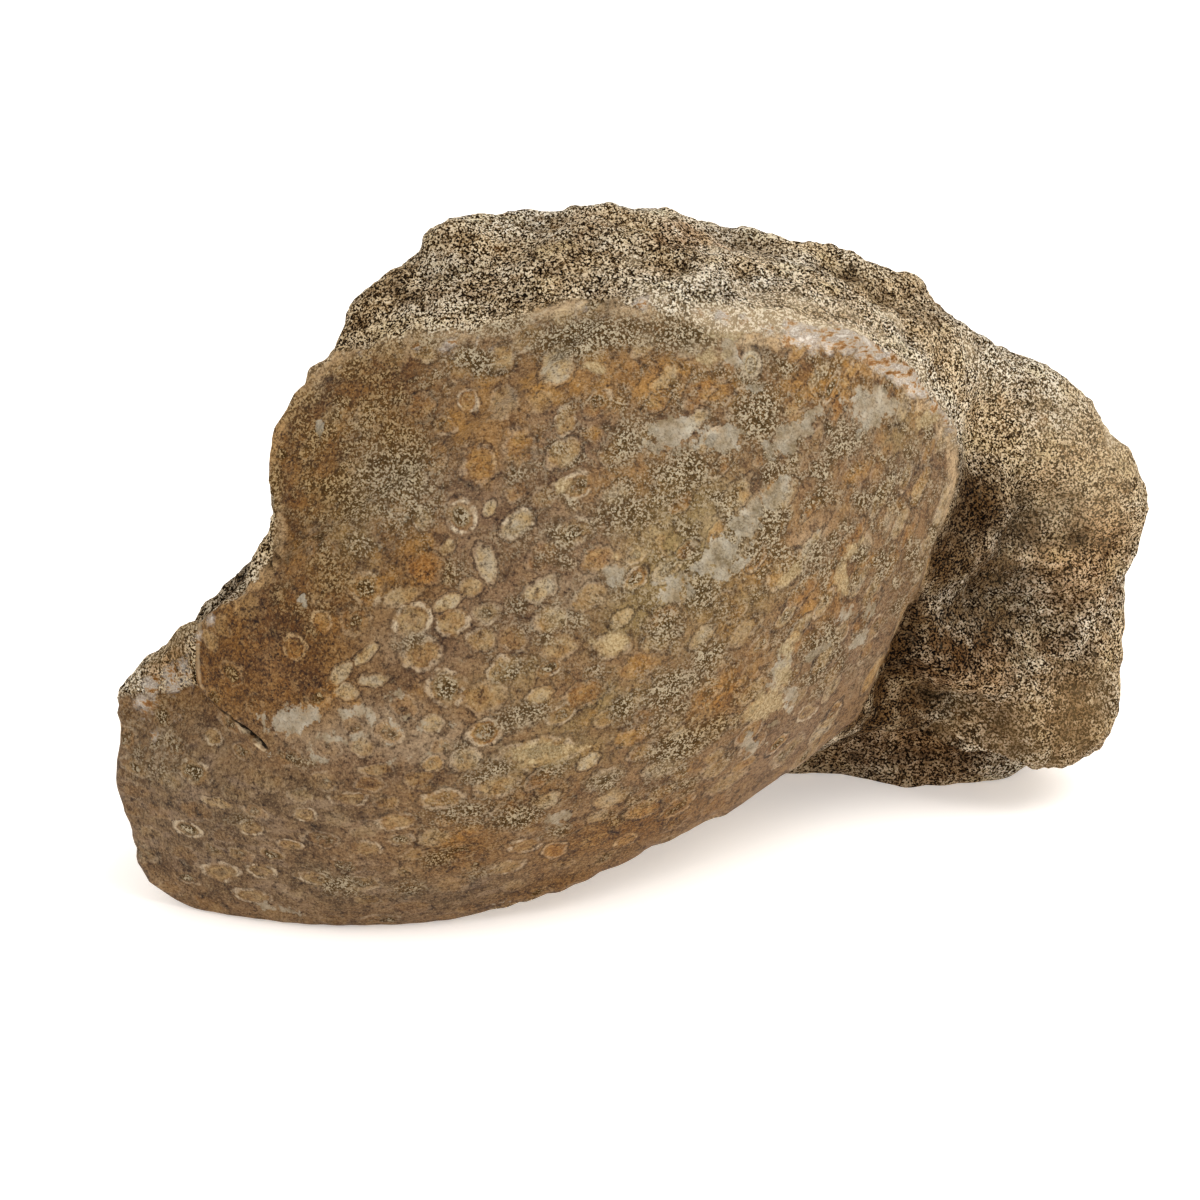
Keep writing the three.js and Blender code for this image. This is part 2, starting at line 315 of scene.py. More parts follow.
# Patches: where the worn face shows sandy matrix, pale grey lime, cream shell,
# ochre and rust. Each is a place across and up, two half widths, a tilt in
# degrees and a strength.
SAND = [
    (-20, 77.4, 5, 1.3, 10, 0.8), (-36, 73.6, 4, 1.2, 15, 0.7), (-50.5, 56, 1.6, 5, 0, 0.7),
    (-47, 66.5, 2, 4, -50, 0.6), (-40, 71.5, 4, 1.5, 30, 0.7), (-30, 75, 4, 1.2, 10, 0.7),
    (-34, 61, 6, 6, 60, 0.85), (-40, 57, 4, 3, 0, 0.7), (-24, 73.5, 3.5, 1.5, -10, 1.0),
    (-42, 50, 3, 4, 40, 0.6), (-18, 62.5, 2.5, 1.5, 30, 0.6), (-26, 51.5, 2, 1.8, 40, 0.7),
    (-4, 66, 3.5, 2.2, 45, 0.9), (3, 62, 5, 3, 15, 0.9), (-4, 58, 6, 2.6, 10, 0.75),
    (13, 67.5, 3.4, 3.6, 0, 1.0), (16, 60.5, 2.6, 1.4, 0, 0.7), (25, 62, 4, 2.2, 15, 0.8),
    (31, 55, 5, 2.2, 25, 0.7), (23, 56, 2.5, 1.6, 10, 0.6), (15, 53.5, 2.4, 1.8, 40, 0.7),
    (21, 48.5, 2, 2.6, 0, 0.8), (5.5, 47, 2.6, 3.2, 50, 0.85), (1, 43.5, 3.2, 2.6, 30, 0.85),
    (6.5, 38.5, 3.2, 2.2, 30, 0.9), (13, 45.5, 2.6, 1.2, 20, 0.6), (2, 35, 4.5, 2.4, 15, 1.0),
    (-4.5, 33.5, 2.2, 1.8, 20, 0.9), (-17.5, 34, 4, 1.5, 15, 0.9), (-8, 38.8, 1.8, 1.2, 10, 0.8),
    (-19, 39.5, 2.4, 1.1, 20, 0.8), (-27, 38, 1.5, 1.2, 0, 0.8), (-11, 45.5, 2.2, 1.6, 0, 0.7),
    (-14, 43.8, 1.8, 1, 20, 0.7), (-18, 47.5, 2, 1.4, 30, 0.7), (3, 26, 4.6, 2.6, 10, 1.0),
    (8, 27.5, 3, 2, 0, 0.8), (-7, 22.8, 2.4, 1.6, 10, 0.8), (-18, 19, 3, 2, 10, 1.0),
    (-25, 20.5, 3.4, 1.3, 10, 0.9), (-21.5, 26.5, 4.2, 1.5, 25, 0.8),
    (-13.5, 25.8, 3, 1.3, 10, 0.7), (-13, 15.5, 2.4, 1.4, 0, 0.7), (-28.5, 13, 2.6, 1.6, 10, 0.8),
    (3, 19, 3, 1.2, 5, 0.7), (-5.5, 15.5, 1.6, 1.8, 0, 0.6), (-25.5, 29.8, 2.2, 1, 10, 0.7),
    (-42, 8.3, 2.6, 2, 0, 0.8), (-33, 7.6, 2.4, 1.6, 0, 0.6), (-23, 9.5, 2.4, 1.4, 10, 0.6),
    (-55, 16.5, 3.4, 0.9, 0, 0.5), (-46.5, 26.5, 2.4, 0.9, -10, 0.6),
    (-31.5, 43, 2.4, 0.9, 15, 0.8), (-45, 42.5, 1.2, 1, 0, 0.6), (31, 43, 2.4, 1.8, 30, 0.6),
    (33.5, 36.5, 2.4, 2.6, 45, 0.6), (12.5, 31, 2.6, 1.6, 30, 0.6), (24, 33, 2.6, 1.2, 20, 0.6),
    (-9, 77, 9, 1.9, 8, 1.0), (4, 77.5, 6, 2.2, 0, 1.0), (-2, 73.5, 3, 0.8, 30, 0.5),
    (-38, 66, 5, 2.2, 50, 0.7), (-46, 62, 2.4, 4, 20, 0.6), (16.5, 72.5, 2, 1.4, 0, 0.7),
    (-66, 30.5, 2.6, 2.4, 0, 0.5), (-65, 23.5, 1.6, 2.4, 0, 0.5),
]
GREY = [
    (2, 66.5, 4, 2, 15, 0.9), (8.5, 65.3, 2.8, 1.6, 0, 0.9), (17, 64, 3.6, 1.5, 20, 0.9),
    (21, 66.5, 2.4, 0.9, 20, 0.7), (29, 65.5, 4.2, 2.6, -10, 0.8), (14, 57, 4, 1.3, 35, 0.9),
    (11, 54.8, 2.6, 2, 20, 0.8), (8, 51.5, 3.4, 2.6, 20, 0.9), (10, 49.6, 1.6, 0.8, 20, 0.9),
    (2, 47.8, 2.6, 2.4, 0, 0.7), (-5.5, 51, 1.3, 1.2, 0, 0.8), (9.6, 74.8, 1.1, 2.6, 25, 0.9),
    (12.6, 70.6, 1.4, 0.8, 0, 0.6), (16.5, 34, 1.6, 3.4, -20, 0.7), (21.5, 34.2, 2.2, 0.8, 25, 0.9),
    (28, 33.5, 1.6, 1, 35, 0.9), (12.5, 22.8, 1.2, 2.2, 15, 0.8), (18, 28.5, 0.9, 2.2, 15, 0.8),
    (25, 38.5, 2.4, 1.4, 40, 0.6), (29, 38, 1.6, 1.2, 0, 0.5), (-47.5, 31.6, 4.5, 1.6, 18, 0.9),
    (-42, 30.5, 4, 1.2, -8, 0.6), (-39, 33.5, 5, 1, 6, 0.6), (-32, 33, 5, 1.6, 0, 0.55),
    (-35, 36, 3, 1, 12, 0.5), (-37, 30.5, 4, 0.9, -5, 0.5), (-33, 28, 5, 0.8, 5, 0.45),
    (-28, 30.5, 2, 1, 0, 0.4), (-13, 18, 1.5, 1.9, 10, 0.7), (-44, 27.5, 3, 0.8, -8, 0.5),
    (-52, 27.5, 3, 0.9, -30, 0.4), (21.5, 52, 0.7, 0.5, 0, 1.0), (-46, 46, 1.0, 0.6, -20, 0.9),
    (-44.5, 64, 0.5, 1.3, 0, 1.0), (-20.5, 3.2, 3, 0.6, 12, 0.5), (-50, 2.8, 4, 0.7, -6, 0.7),
    (-34, 57.5, 1.6, 1.4, 0, 0.5), (-3, 17, 1.2, 0.5, 20, 0.5), (16, 25, 2.4, 0.6, 30, 0.6),
    (-22.5, 31.6, 1, 0.7, 0, 0.6),
]
CREAM = [
    (14, 28.5, 2.6, 2.2, 20, 1.0), (16.7, 32.5, 1.3, 2, 0, 0.8), (17.5, 36.8, 1.3, 2.6, -30, 0.7),
    (24.8, 44, 1.1, 2.8, 5, 0.9), (26.5, 48, 1.6, 1.8, -10, 0.7), (-6, 42.3, 2.3, 1.5, 10, 0.9),
    (-15, 28.6, 5.2, 2, 4, 0.75), (17.5, 47, 2.6, 0.9, 40, 0.8), (-3, 53.5, 4, 1.8, 10, 0.5),
    (-12, 61.5, 1.8, 0.9, 40, 0.8), (-8.2, 74, 1.6, 0.6, -10, 1.0), (37, 62, 2.4, 1.6, 0, 0.8),
    (20.5, 40, 1.4, 0.7, 30, 0.6), (-13, 46, 1.5, 1, 0, 0.5), (-22, 37, 2.6, 1, 20, 0.5),
    (6, 31.5, 1.6, 0.9, 0, 0.4), (7, 74.5, 2.2, 1.3, 0, 0.6), (9, 77.5, 2.5, 1.2, 0, 0.9),
    (30, 28, 1.2, 2.4, -40, 0.4), (-4, 60, 2.4, 0.8, 10, 0.35),
]
OCHRE = [
    (26, 72, 4, 1.3, -28, 1.0), (33, 67, 3, 1.3, -45, 1.0), (37.2, 62.5, 2, 1, -60, 0.8),
    (9, 70.5, 3, 1.6, 0, 0.8), (-15, 71, 3, 2, 0, 0.8), (-26, 67, 2.4, 2, 0, 0.7),
    (-1, 71.5, 3, 1.6, 0, 0.8), (27, 58, 4, 1.4, 20, 0.7), (-30.5, 53, 2.4, 1.6, 10, 0.9),
    (-34, 50.5, 2.6, 1.4, 0, 0.7), (-22.5, 63, 2.6, 2.2, 0, 0.8), (-17.5, 66, 2.4, 2, 0, 0.7),
    (-22, 71, 2.6, 2, 0, 0.6), (-12.5, 71.5, 3, 2.4, 0, 0.6), (-6, 71, 2.2, 1.6, 0, 0.7),
    (2, 74, 3, 1.2, 0, 0.9), (6, 71.5, 2.6, 1.6, 0, 0.7), (22, 70, 5, 2, 0, 0.9),
    (17, 75.5, 3, 1.2, 0, 0.9), (-3.2, 29.2, 2.8, 1.1, 10, 1.0), (-2.5, 38.8, 2.8, 1.8, 10, 0.9),
    (-8.5, 66.8, 1.2, 0.9, 0, 1.0), (7.5, 33, 3.8, 2.2, 20, 0.9), (16, 48, 4, 2.4, 30, 0.7),
    (-13.5, 12, 1.7, 1.4, 0, 0.9), (-26.5, 16.2, 2.6, 1.4, 20, 0.9), (-3, 53.5, 6, 3, 10, 0.5),
    (-29, 37.3, 4, 1.6, 10, 0.5), (-41, 36, 3.5, 1, -25, 0.8), (-44, 33.6, 4, 1, 20, 0.7),
    (-14, 36.5, 4, 3, 30, 0.5), (9, 41.5, 6, 3, 30, 0.6), (20, 41, 3.4, 1.4, 20, 0.7),
    (24, 44, 3, 3.4, 0, 0.5), (33, 52, 4, 1.4, 25, 0.6), (1, 30, 4, 2, 0, 0.5),
    (4, 22, 5, 1.6, 5, 0.6), (-9, 28, 3, 1.6, 0, 0.5), (-9, 33, 3, 1.6, 30, 0.5),
    (36, 63, 2.5, 3, 30, 0.6), (-2, 16.3, 3, 1.4, 0, 0.6), (-30, 23, 4, 2, 0, 0.5),
    (-45.5, 33, 2.4, 0.9, 25, 0.6), (-37, 48.7, 2.2, 2.2, 0, 0.7), (-41, 65, 5, 2, 30, 0.5),
    (-48, 51, 2.4, 4, 0, 0.5), (-36, 53, 3, 1.6, 30, 0.5), (-55, 50, 1.6, 5, -10, 0.7),
    (-52, 60, 1.6, 4, -30, 0.7), (-47, 68, 2, 3, -50, 0.6), (-31, 54, 3, 1.4, 20, 0.8),
    (-30, 51.5, 1.6, 1.6, 0, 0.9), (-43, 44, 3, 1.6, 20, 0.6), (-47, 40, 3, 1.4, 20, 0.6),
    (15, 58.5, 2.4, 0.9, 40, 0.9), (-56, 34, 4, 1.6, 20, 0.4), (-66.5, 35, 3, 1.4, 30, 0.8),
    (29, 45, 1.6, 2.6, 20, 0.6),
]
RUST = [
    (-49, 44, 5, 7, 30, 0.8), (-55, 36, 5, 4, 0, 0.6), (-42, 46, 5, 3, 0, 0.6),
    (-46, 67, 6, 4, 30, 0.8), (-35, 71.5, 5, 3, 10, 0.7), (-28, 67, 4, 3, 0, 0.6),
    (-10, 69, 4, 2, 0, 0.5), (-49, 56, 3, 6, 0, 0.7), (-46, 37, 4, 3, -20, 0.7),
    (24, 60.5, 3, 1.6, 0, 0.7), (12.5, 59.3, 1.8, 1, 0, 1.0), (13.5, 60.2, 2.4, 1.2, 30, 0.9),
    (15, 71.5, 3, 1.4, 0, 0.6), (-27, 15.5, 2.4, 2, 0, 0.7), (0, 13, 5, 2, 15, 0.5),
    (-33, 69, 3, 2, 0, 0.6), (-12, 39, 3, 2, 0, 0.4), (4, 30.5, 3, 1.4, 0, 0.5),
    (-27.8, 26.2, 0.9, 1, 0, 0.9), (-24, 12.5, 3, 1.4, 10, 0.6), (22, 73.5, 5, 1.2, -10, 0.7),
    (31, 69, 3, 2, -30, 0.5), (-30, 62, 3, 2, 0, 0.4), (10, 23, 3, 2, 0, 0.5),
]

# The broad ground of the worn face: rusty umber at its left, mauve brown, an
# olive zone at the middle, ash brown low on the left and tan along the top. On
# it lie gritty parts, where loose sand shows, and a thin pale haze of lime.
UMBER = [
    (-50, 40, 9, 8, 20, 1.0), (-47, 61, 7, 8, 20, 0.9), (-38, 70, 7, 4, 20, 0.8),
    (-57, 35, 6, 5, 0, 0.8), (-43, 48, 6, 5, 0, 0.7), (-35, 66, 6, 4, 0, 0.6),
    (-46, 33, 6, 2.5, 10, 0.7), (-64, 31, 5, 4, 30, 0.5), (-26, 14, 6, 4, 10, 0.6),
    (-4, 13, 10, 4, 12, 0.8), (-16, 22, 6, 3, 10, 0.4), (-14, 5, 10, 2, 12, 0.6),
    (8, 30, 6, 4, 20, 0.5), (-31, 51, 5, 3, 10, 0.6),
]
MAUVE = [
    (13.2, 74, 2.4, 2.4, 0, 0.8), (-24, 57, 8, 6, 20, 0.9), (-13, 65, 9, 5, 10, 0.8),
    (-20, 47, 8, 5, 20, 0.7), (-28, 42, 7, 4, 10, 0.6), (24, 61, 6, 3, 10, 0.6),
    (34, 56, 5, 6, 60, 0.6), (27, 34, 8, 5, 55, 0.9), (19, 22, 7, 4, 40, 0.8),
    (-40, 27, 9, 3, 0, 0.6), (-12, 54, 8, 4, 10, 0.7), (-50, 38, 3, 4, 0, 0.6),
    (-44, 17, 8, 3, 0, 0.5),
]
OLIVE = [
    (4, 53, 8, 7, 30, 0.9), (-2, 47, 7, 4, 20, 0.7), (10, 45, 8, 4, 30, 0.6),
    (-8, 34, 7, 3, 20, 0.6), (-14, 28, 8, 3, 5, 0.6), (33, 62, 4, 4, 0, 0.5),
    (-18, 39, 6, 3, 20, 0.4), (-40, 55, 5, 6, 60, 0.4),
]
ASH = [
    (13.2, 74, 2.4, 2.4, 0, 1.0), (-60, 15, 11, 9, 0, 1.0), (-45, 8, 14, 5, 0, 0.8),
    (-48, 20, 12, 4, 0, 0.8), (-28, 6, 12, 4, 5, 0.7), (-66, 24, 5, 5, 0, 0.6),
    (-30, 24, 8, 3, 10, 0.4), (-10, 9, 8, 3, 10, 0.4),
]
GRITTY = [
    (-40, 60, 9, 9, 40, 1.0), (-33, 71, 8, 3, 20, 0.8), (-45, 47, 5, 4, 0, 0.6),
    (15, 56, 18, 9, 20, 1.0), (29, 48, 8, 12, 60, 1.0), (-6, 66, 10, 5, 10, 0.7),
    (-8, 57, 9, 5, 10, 0.8), (22, 34, 8, 7, 50, 0.8), (4, 34, 9, 6, 20, 0.8),
    (-14, 44, 9, 5, 20, 0.5), (-22, 20, 10, 5, 10, 0.5), (2, 20, 8, 4, 10, 0.6),
    (15, 71, 16, 4, 0, 0.7), (-66, 24, 4, 5, 0, 0.6), (36, 60, 4, 6, 60, 0.8),
]
HAZE = [
    (-38, 32, 9, 3.5, 10, 1.0), (-42, 30, 6, 2, 10, 1.0), (-29, 30, 8, 3, 5, 0.9),
    (-46, 29.5, 5, 2.5, -10, 0.7), (-20, 33, 7, 3, 10, 0.5), (-8, 50, 7, 4, 30, 0.7),
    (-12, 57, 6, 3, 20, 0.6), (20, 50, 5, 3.5, 40, 0.8), (5, 75.5, 4, 1.6, -5, 0.7),
    (10, 56, 8, 4, 30, 0.6), (3, 65, 7, 3, 10, 0.5), (26, 64, 8, 3, 0, 0.6),
    (-52, 47, 1.6, 4, 0, 0.6), (16, 33, 3, 4, -10, 0.5), (-33, 43, 6, 3, 20, 0.5),
    (-60, 27, 6, 2, -20, 0.4), (29, 28, 2.5, 5, -35, 0.5),
]
TAN = [
    (-5, 73, 11, 3, 0, 0.8), (21, 70, 8, 3, -10, 0.7), (-22, 68, 6, 4, 0, 0.6),
    (16, 50, 8, 3, 30, 0.6), (23, 42, 4, 6, 0, 0.6), (-3, 62, 8, 2.5, 10, 0.6),
    (-31, 55, 4, 3, 0, 0.5), (12, 33, 5, 4, 30, 0.5),
]


def in_oval(x, z, oval):
    """Along and across a tilted oval on the face, 1 at its edge."""
    at_x, at_z, long, short, tilt = oval[:5]
    turn = math.radians(tilt)
    u = ((x - at_x) * math.cos(turn) + (z - at_z) * math.sin(turn)) / long
    v = ((z - at_z) * math.cos(turn) - (x - at_x) * math.sin(turn)) / short
    return u, v


def patches(x, z, spots):
    """How strongly each place on the face is covered by the spots."""
    cover = np.zeros(x.shape)
    for spot in spots:
        u, v = in_oval(x, z, spot)
        cover = np.maximum(cover, spot[5] * np.exp(-SPOT_FALL * (u * u + v * v)))
    return cover


keep_attribute(skin_mesh, "worn_depth", "FLOAT", "POINT", worn_depth)
FACE_MARKS = {
    "sand": SAND, "grey": GREY, "cream": CREAM, "ochre": OCHRE, "rust": RUST, "umber": UMBER,
    "mauve": MAUVE, "olive": OLIVE, "ash": ASH, "tan": TAN, "haze": HAZE, "gritty": GRITTY,
}
for name, spots in FACE_MARKS.items():
    keep_attribute(skin_mesh, name, "FLOAT", "POINT", patches(x, z, spots))

# On the broken matrix: painted shade, iron-stained warm ground, rubbed
# smoother ground on the toe, a pale lime crust over the ridge, dusty ground on
# the back and the right lobe, and spar, the white and orange crystals along the
# top edge and on the left flank. Each is a place, a size and a strength.
# The dark marks are painted shade in the recess, under the toe, along the
# face's right edge, on the base and over the top, with some darker grains in
# the recess as well.
PAINTED_SHADE = [
    (46, 4, 46, 7, 1.0), (42, 0, 39, 7, 1.0), (37, -6, 32, 7, 1.0), (38, -7, 38, 4, 0.8),
    (33, -8, 25, 6, 0.9), (47, 10, 34, 7, 1.0), (50, 12, 41, 6, 0.9), (54, 14, 38.5, 3, 0.6),
    (61, 13.5, 38, 2.5, 0.7), (67, 13, 37, 2, 0.6), (52, 12, 33, 3, 0.6), (41, -5, 54, 5, 0.6),
    (30, 10, 4, 11, 0.5), (40, 11, 6, 10, 0.45), (22, 9, 5, 8, 0.6), (36, 4, 13, 3, 0.9),
    (28, 14, 78, 3.5, 0.8), (33, 13, 75, 3, 0.6), (24, 12, 80, 3, 0.5), (-18, -9, 80, 4, 0.5),
    (-12, -3, 84, 4, 0.3), (-56, -15, 45, 7, 1.0), (-52, -12, 50, 6, 0.8), (-62, -18, 37, 5, 0.6),
    (-44, -6, 70, 6, 0.45), (-60, -17, 39, 4, 0.6), (37, -3, 47, 5, 0.5), (28, -2, 12, 5, 0.9),
    (44, 9, 29, 3.5, 0.5), (40, -5, 60, 2.5, 0.5), (-23, -6, 81, 3, 0.4), (-2, -6, 84, 3, 0.3),
    (47, 11, 7, 4, 0.6), (36, -7, 29, 5, 1.0), (40, -2, 29, 5, 0.9), (46, 7, 30, 5, 0.8),
    (32, -9, 24, 4, 1.0), (29, -8, 18, 4, 1.0), (33, -3, 17, 4, 1.0), (22, 7, 5, 7, 0.6),
    (30, 12, 5, 8, 0.5), (32, 6, 12, 2.5, 1.1), (36, 7, 10.5, 2.5, 1.1), (40, 8, 9, 2.5, 1.1),
    (44, 9, 7.5, 2.5, 1.1), (48, 9, 6, 2.2, 0.9), (62, 6, 20, 7, 0.6), (58, 3, 12, 8, 0.55),
    (64, 12, 36, 4, 0.3), (35, -6, 33, 3, 1.3), (34, -4, 27, 3, 1.3), (32, -3, 21, 3, 1.3),
    (30, -2, 16, 3, 1.2), (60, 8, 26, 5, 0.4), (56, 11, 31, 5, 0.5), (60, 11, 27, 5, 0.4),
    (52, 12, 31, 5, 0.7), (65, 12, 26, 4, 0.3), (42, 5, 30, 5, 1.0), (47, 7, 27, 5, 0.9),
    (50, 1, 14, 6, 0.5), (61, 4, 14, 6, 0.45), (38, 0, 18, 5, 0.9), (35, -3, 24, 5, 1.0),
    (40, 8, 10, 4, 0.8), (57, 10, 24, 6, 0.6), (63, 12, 30, 5, 0.3), (50, 6, 23, 5, 0.8),
    (45, 3, 24, 5, 0.9), (55, 9, 24, 4, 0.5), (51, 9, 29, 5, 0.9), (41, 0, 26, 5, 1.0),
    (47, 4, 27, 4, 0.8), (-28, -4, 82, 10, 0.46), (-14, 0, 86, 10, 0.44), (2, 2, 86, 9, 0.42),
    (-38, -6, 76, 5, 0.2), (-6, -12, 82, 5, 0.4), (8, -12, 81, 4, 0.45), (16, -2, 82, 5, 0.35),
    (26, 4, 5, 7, 1.0), (38, 4, 12, 3, 0.9), (52, 9, 29, 4, 0.5), (41, -4, 52, 5, 0.9),
    (44, 3, 53, 4, 0.6), (20, -10, 12, 6, 0.9),
]
WARM = [
    (-25, 38, 52, 14, 0.7), (32, 42, 28, 14, 0.7), (-40, 24, 22, 10, 0.7), (-55, 5, 55, 12, 0.6),
    (-62, 0, 22, 12, 0.7), (5, 44, 60, 10, 0.4), (6, 8, 85, 5, 0.9), (2, 3, 85, 4, 0.6),
    (41, 0, 24, 5, 0.9), (47, 2, 22, 5, 0.8), (38, -2, 20, 4, 0.7), (60, 3, 16, 8, 0.7),
    (50, 2, 14, 7, 0.7), (66, 16, 44, 6, 0.3), (60, 16, 50, 6, 0.4), (52, 18, 57, 6, 0.3),
    (-8, -14, 81, 4, 0.4), (-14, -8, 82, 3, 0.4), (-1, -6, 83, 4, 0.3), (64, 8, 22, 5, 0.5),
    (30, 5, 74, 5, 0.2), (-64.5, -27, 35.2, 2.2, 1.0), (-67, -25, 32.5, 1.6, 0.8),
    (-63, -27, 37, 1.6, 0.6), (56, 15, 46, 4, 0.4), (60, 13, 32, 7, 0.8), (64, 14, 38, 6, 0.7),
    (55, 10, 37, 6, 0.6), (48, 6, 36, 5, 0.5), (40, 8, 6, 9, 0.9), (30, 8, 5, 8, 0.8),
    (48, 4, 14, 5, 0.5), (57, 9, 23, 5, 0.6), (10, 4, 84, 6, 0.3), (-28, -6, 80, 10, 0.25),
    (-10, 4, 86, 8, 0.25),
]
RUBBED = [
    (60, 4, 14, 6, 1.0), (52, 2, 13, 6, 0.9), (65, 6, 16, 5, 0.9), (45, 5, 16, 5, 0.7),
    (39, 5, 19, 4, 0.6), (66, 9, 22, 3, 0.4), (56, 2, 10, 5, 0.8), (42, 4, 13, 2, 1.0),
    (46, 4, 11.5, 2, 1.0), (50, 3, 10, 2, 1.0), (-64, -26, 37, 3, 1.0), (-61, -27, 40, 2.5, 0.8),
    (-67, -24, 34, 2.5, 0.8),
]
CRUST = [
    (6, -16.6, 78.6, 2.2, 0.8), (9, -16.2, 78.4, 2.4, 1.0), (12, -15.5, 78.1, 2.6, 1.0),
    (15, -14.7, 77.8, 2.8, 1.0), (18, -13.8, 77.5, 2.8, 1.0), (21, -12.7, 76.9, 2.6, 1.0),
    (24, -11.5, 76, 2.4, 0.9), (3, -16, 79.6, 2, 0.4), (27, -9.5, 74.4, 2.2, 0.7),
    (14, -9, 80.5, 4, 0.42), (20, -7, 79.5, 4, 0.5), (26, -4, 77, 3, 0.4), (30, -5, 73.5, 2, 0.5),
    (33, 4, 74, 2.0, 0.8), (45, 15, 66, 2, 0.5), (-2, -13, 81.8, 2, 0.4), (5, -10, 82, 3, 0.25),
    (-3, -4, 83.5, 1.4, 0.5), (66, 22, 51, 2, 0.5), (36, -3, 67, 2, 0.5), (-36, -12, 75, 1.2, 0.5),
    (-29, -14, 76, 1.2, 0.6), (-22, -15, 77, 1.2, 0.5), (38, -3.5, 63, 2, 0.5),
    (-65, -25.5, 38, 2, 0.3), (-69.5, -24, 30, 1.6, 0.4), (0, -15.5, 81, 2.2, 0.5),
    (8, 3, 84.5, 1.6, 0.5), (39, 8, 70, 2, 0.4), (47, 14, 62, 1.6, 0.4),
]
DUSTY = [
    (-40, 20, 50, 22, 0.6), (5, 38, 55, 24, 0.7), (50, 40, 35, 24, 0.7), (-20, 40, 20, 24, 0.6),
    (20, 42, 12, 20, 0.5), (62, 18, 44, 8, 0.8), (67, 20, 49, 6, 0.8), (60, 17, 54, 8, 0.7),
    (50, 16, 60, 6, 0.4), (66, 16, 38, 5, 0.3), (42, 12, 67, 5, 0.3),
]
SPAR = [
    (5.5, -16.5, 80, 1.3, 0.7), (8.5, -16.5, 79.4, 1.5, 0.9), (11.5, -16, 78.8, 1.4, 0.8),
    (15, -15.4, 77, 1.3, 0.7), (18, -14.6, 76.4, 2.0, 1.1), (20.5, -14, 75.6, 2.0, 1.1),
    (23, -13, 75, 2.0, 1.1), (25.2, -12, 74.3, 2.0, 1.1), (27.3, -11, 73.3, 2.0, 1.1),
    (29.3, -10, 72, 2.0, 1.1), (31.2, -9.2, 70.6, 2.0, 1.1), (33, -8, 69, 2.0, 1.1),
    (34.8, -7, 67.4, 2.0, 1.1), (36.5, -6, 65.6, 1.5, 0.9), (38.2, -5.2, 63.6, 1.4, 0.9),
    (39.6, -4.6, 61.6, 1.2, 0.9), (40.7, -4.2, 59.6, 1.1, 0.8), (24, -9.5, 76.6, 1.3, 0.7),
    (-2, -15.5, 81.2, 1.5, 0.9), (1, -15.5, 80.8, 1.0, 0.7), (-13.5, -16.3, 80, 1.5, 0.9),
    (-27.5, -16, 75.3, 1.6, 0.9), (-24, -16.5, 75.9, 1.2, 0.6), (-32, -14.5, 75, 1.4, 0.7),
    (-36.5, -13, 74.3, 1.4, 0.7), (-40, -11.5, 73.2, 1.4, 0.6), (-19, -16.5, 77, 1.2, 0.5),
    (-30, -16.6, 75.6, 1.4, 1.2), (-34.5, -15, 74.6, 1.5, 1.2), (-38.4, -13.6, 73.6, 1.3, 1.2),
    (-42, -12.4, 72.2, 1.3, 1.1), (-45, -12.9, 70.2, 1.2, 1.1), (-16.5, -16.8, 78.6, 1.3, 1.1),
    (-22.5, -18, 76.6, 1.5, 1.2), (-10, -15.2, 80.6, 1.2, 1.1), (-62.3, -28, 33.2, 2.0, 0.8),
    (-64.6, -27, 32.2, 2.0, 0.9), (-67.2, -26, 31, 2.0, 0.8), (-68.4, -26, 28, 1.8, 0.8),
    (-61.4, -27.8, 36.4, 1.4, 0.6), (-65.5, -26, 36.6, 1.6, 0.6), (-60.4, -29, 39, 1.2, 0.7),
    (-58.6, -29.5, 41.5, 1.1, 0.6), (-66.5, -28.5, 25, 1.2, 0.6), (-65, -29.5, 23, 1.0, 0.6),
    (-63.6, -29.5, 27.5, 1.0, 0.5),
]


def patches_in(places, spots):
    """How strongly each place is covered by the spots, which are round."""
    cover = np.zeros(len(places))
    for *spot, size, strength in spots:
        away = np.linalg.norm(places - np.array(spot), axis=1) / size
        cover = np.maximum(cover, strength * np.exp(-SPOT_FALL * away * away))
    return cover


MATRIX_MARKS = {
    "dark": PAINTED_SHADE, "warm": WARM, "rubbed": RUBBED, "crust": CRUST, "dusty": DUSTY, "spar": SPAR,
}
for name, spots in MATRIX_MARKS.items():
    keep_attribute(skin_mesh, name, "FLOAT", "POINT", patches_in(places, spots))
# Lines that follow the shape: the crack and its lip, and painted highlights
# along the face's top edge and the ledge's rim, where these edges catch the light.
SIDE_FAR = 4  # the crack's marks need no distance beyond this
top_edge_highlight = ease(3.0 - depth_in, 0, 2.6) * ease(z, 40, 48) * in_front
ledge_rim_highlight = np.exp(-(((side + 0.4) / 0.35) ** 2)) * ease(along, 0, 0.1)
ledge_rim_highlight = ledge_rim_highlight * ease(0.6 - along, 0, 0.15) * in_front
for name, values in {
    "crack_side": side.clip(-SIDE_FAR, SIDE_FAR), "hairline": hairline, "lip_clear": lip_clear,
    "low_lying": low_lying, "top_edge_highlight": top_edge_highlight, "ledge_rim_highlight": ledge_rim_highlight,
}.items():
    keep_attribute(skin_mesh, name, "FLOAT", "POINT", values)

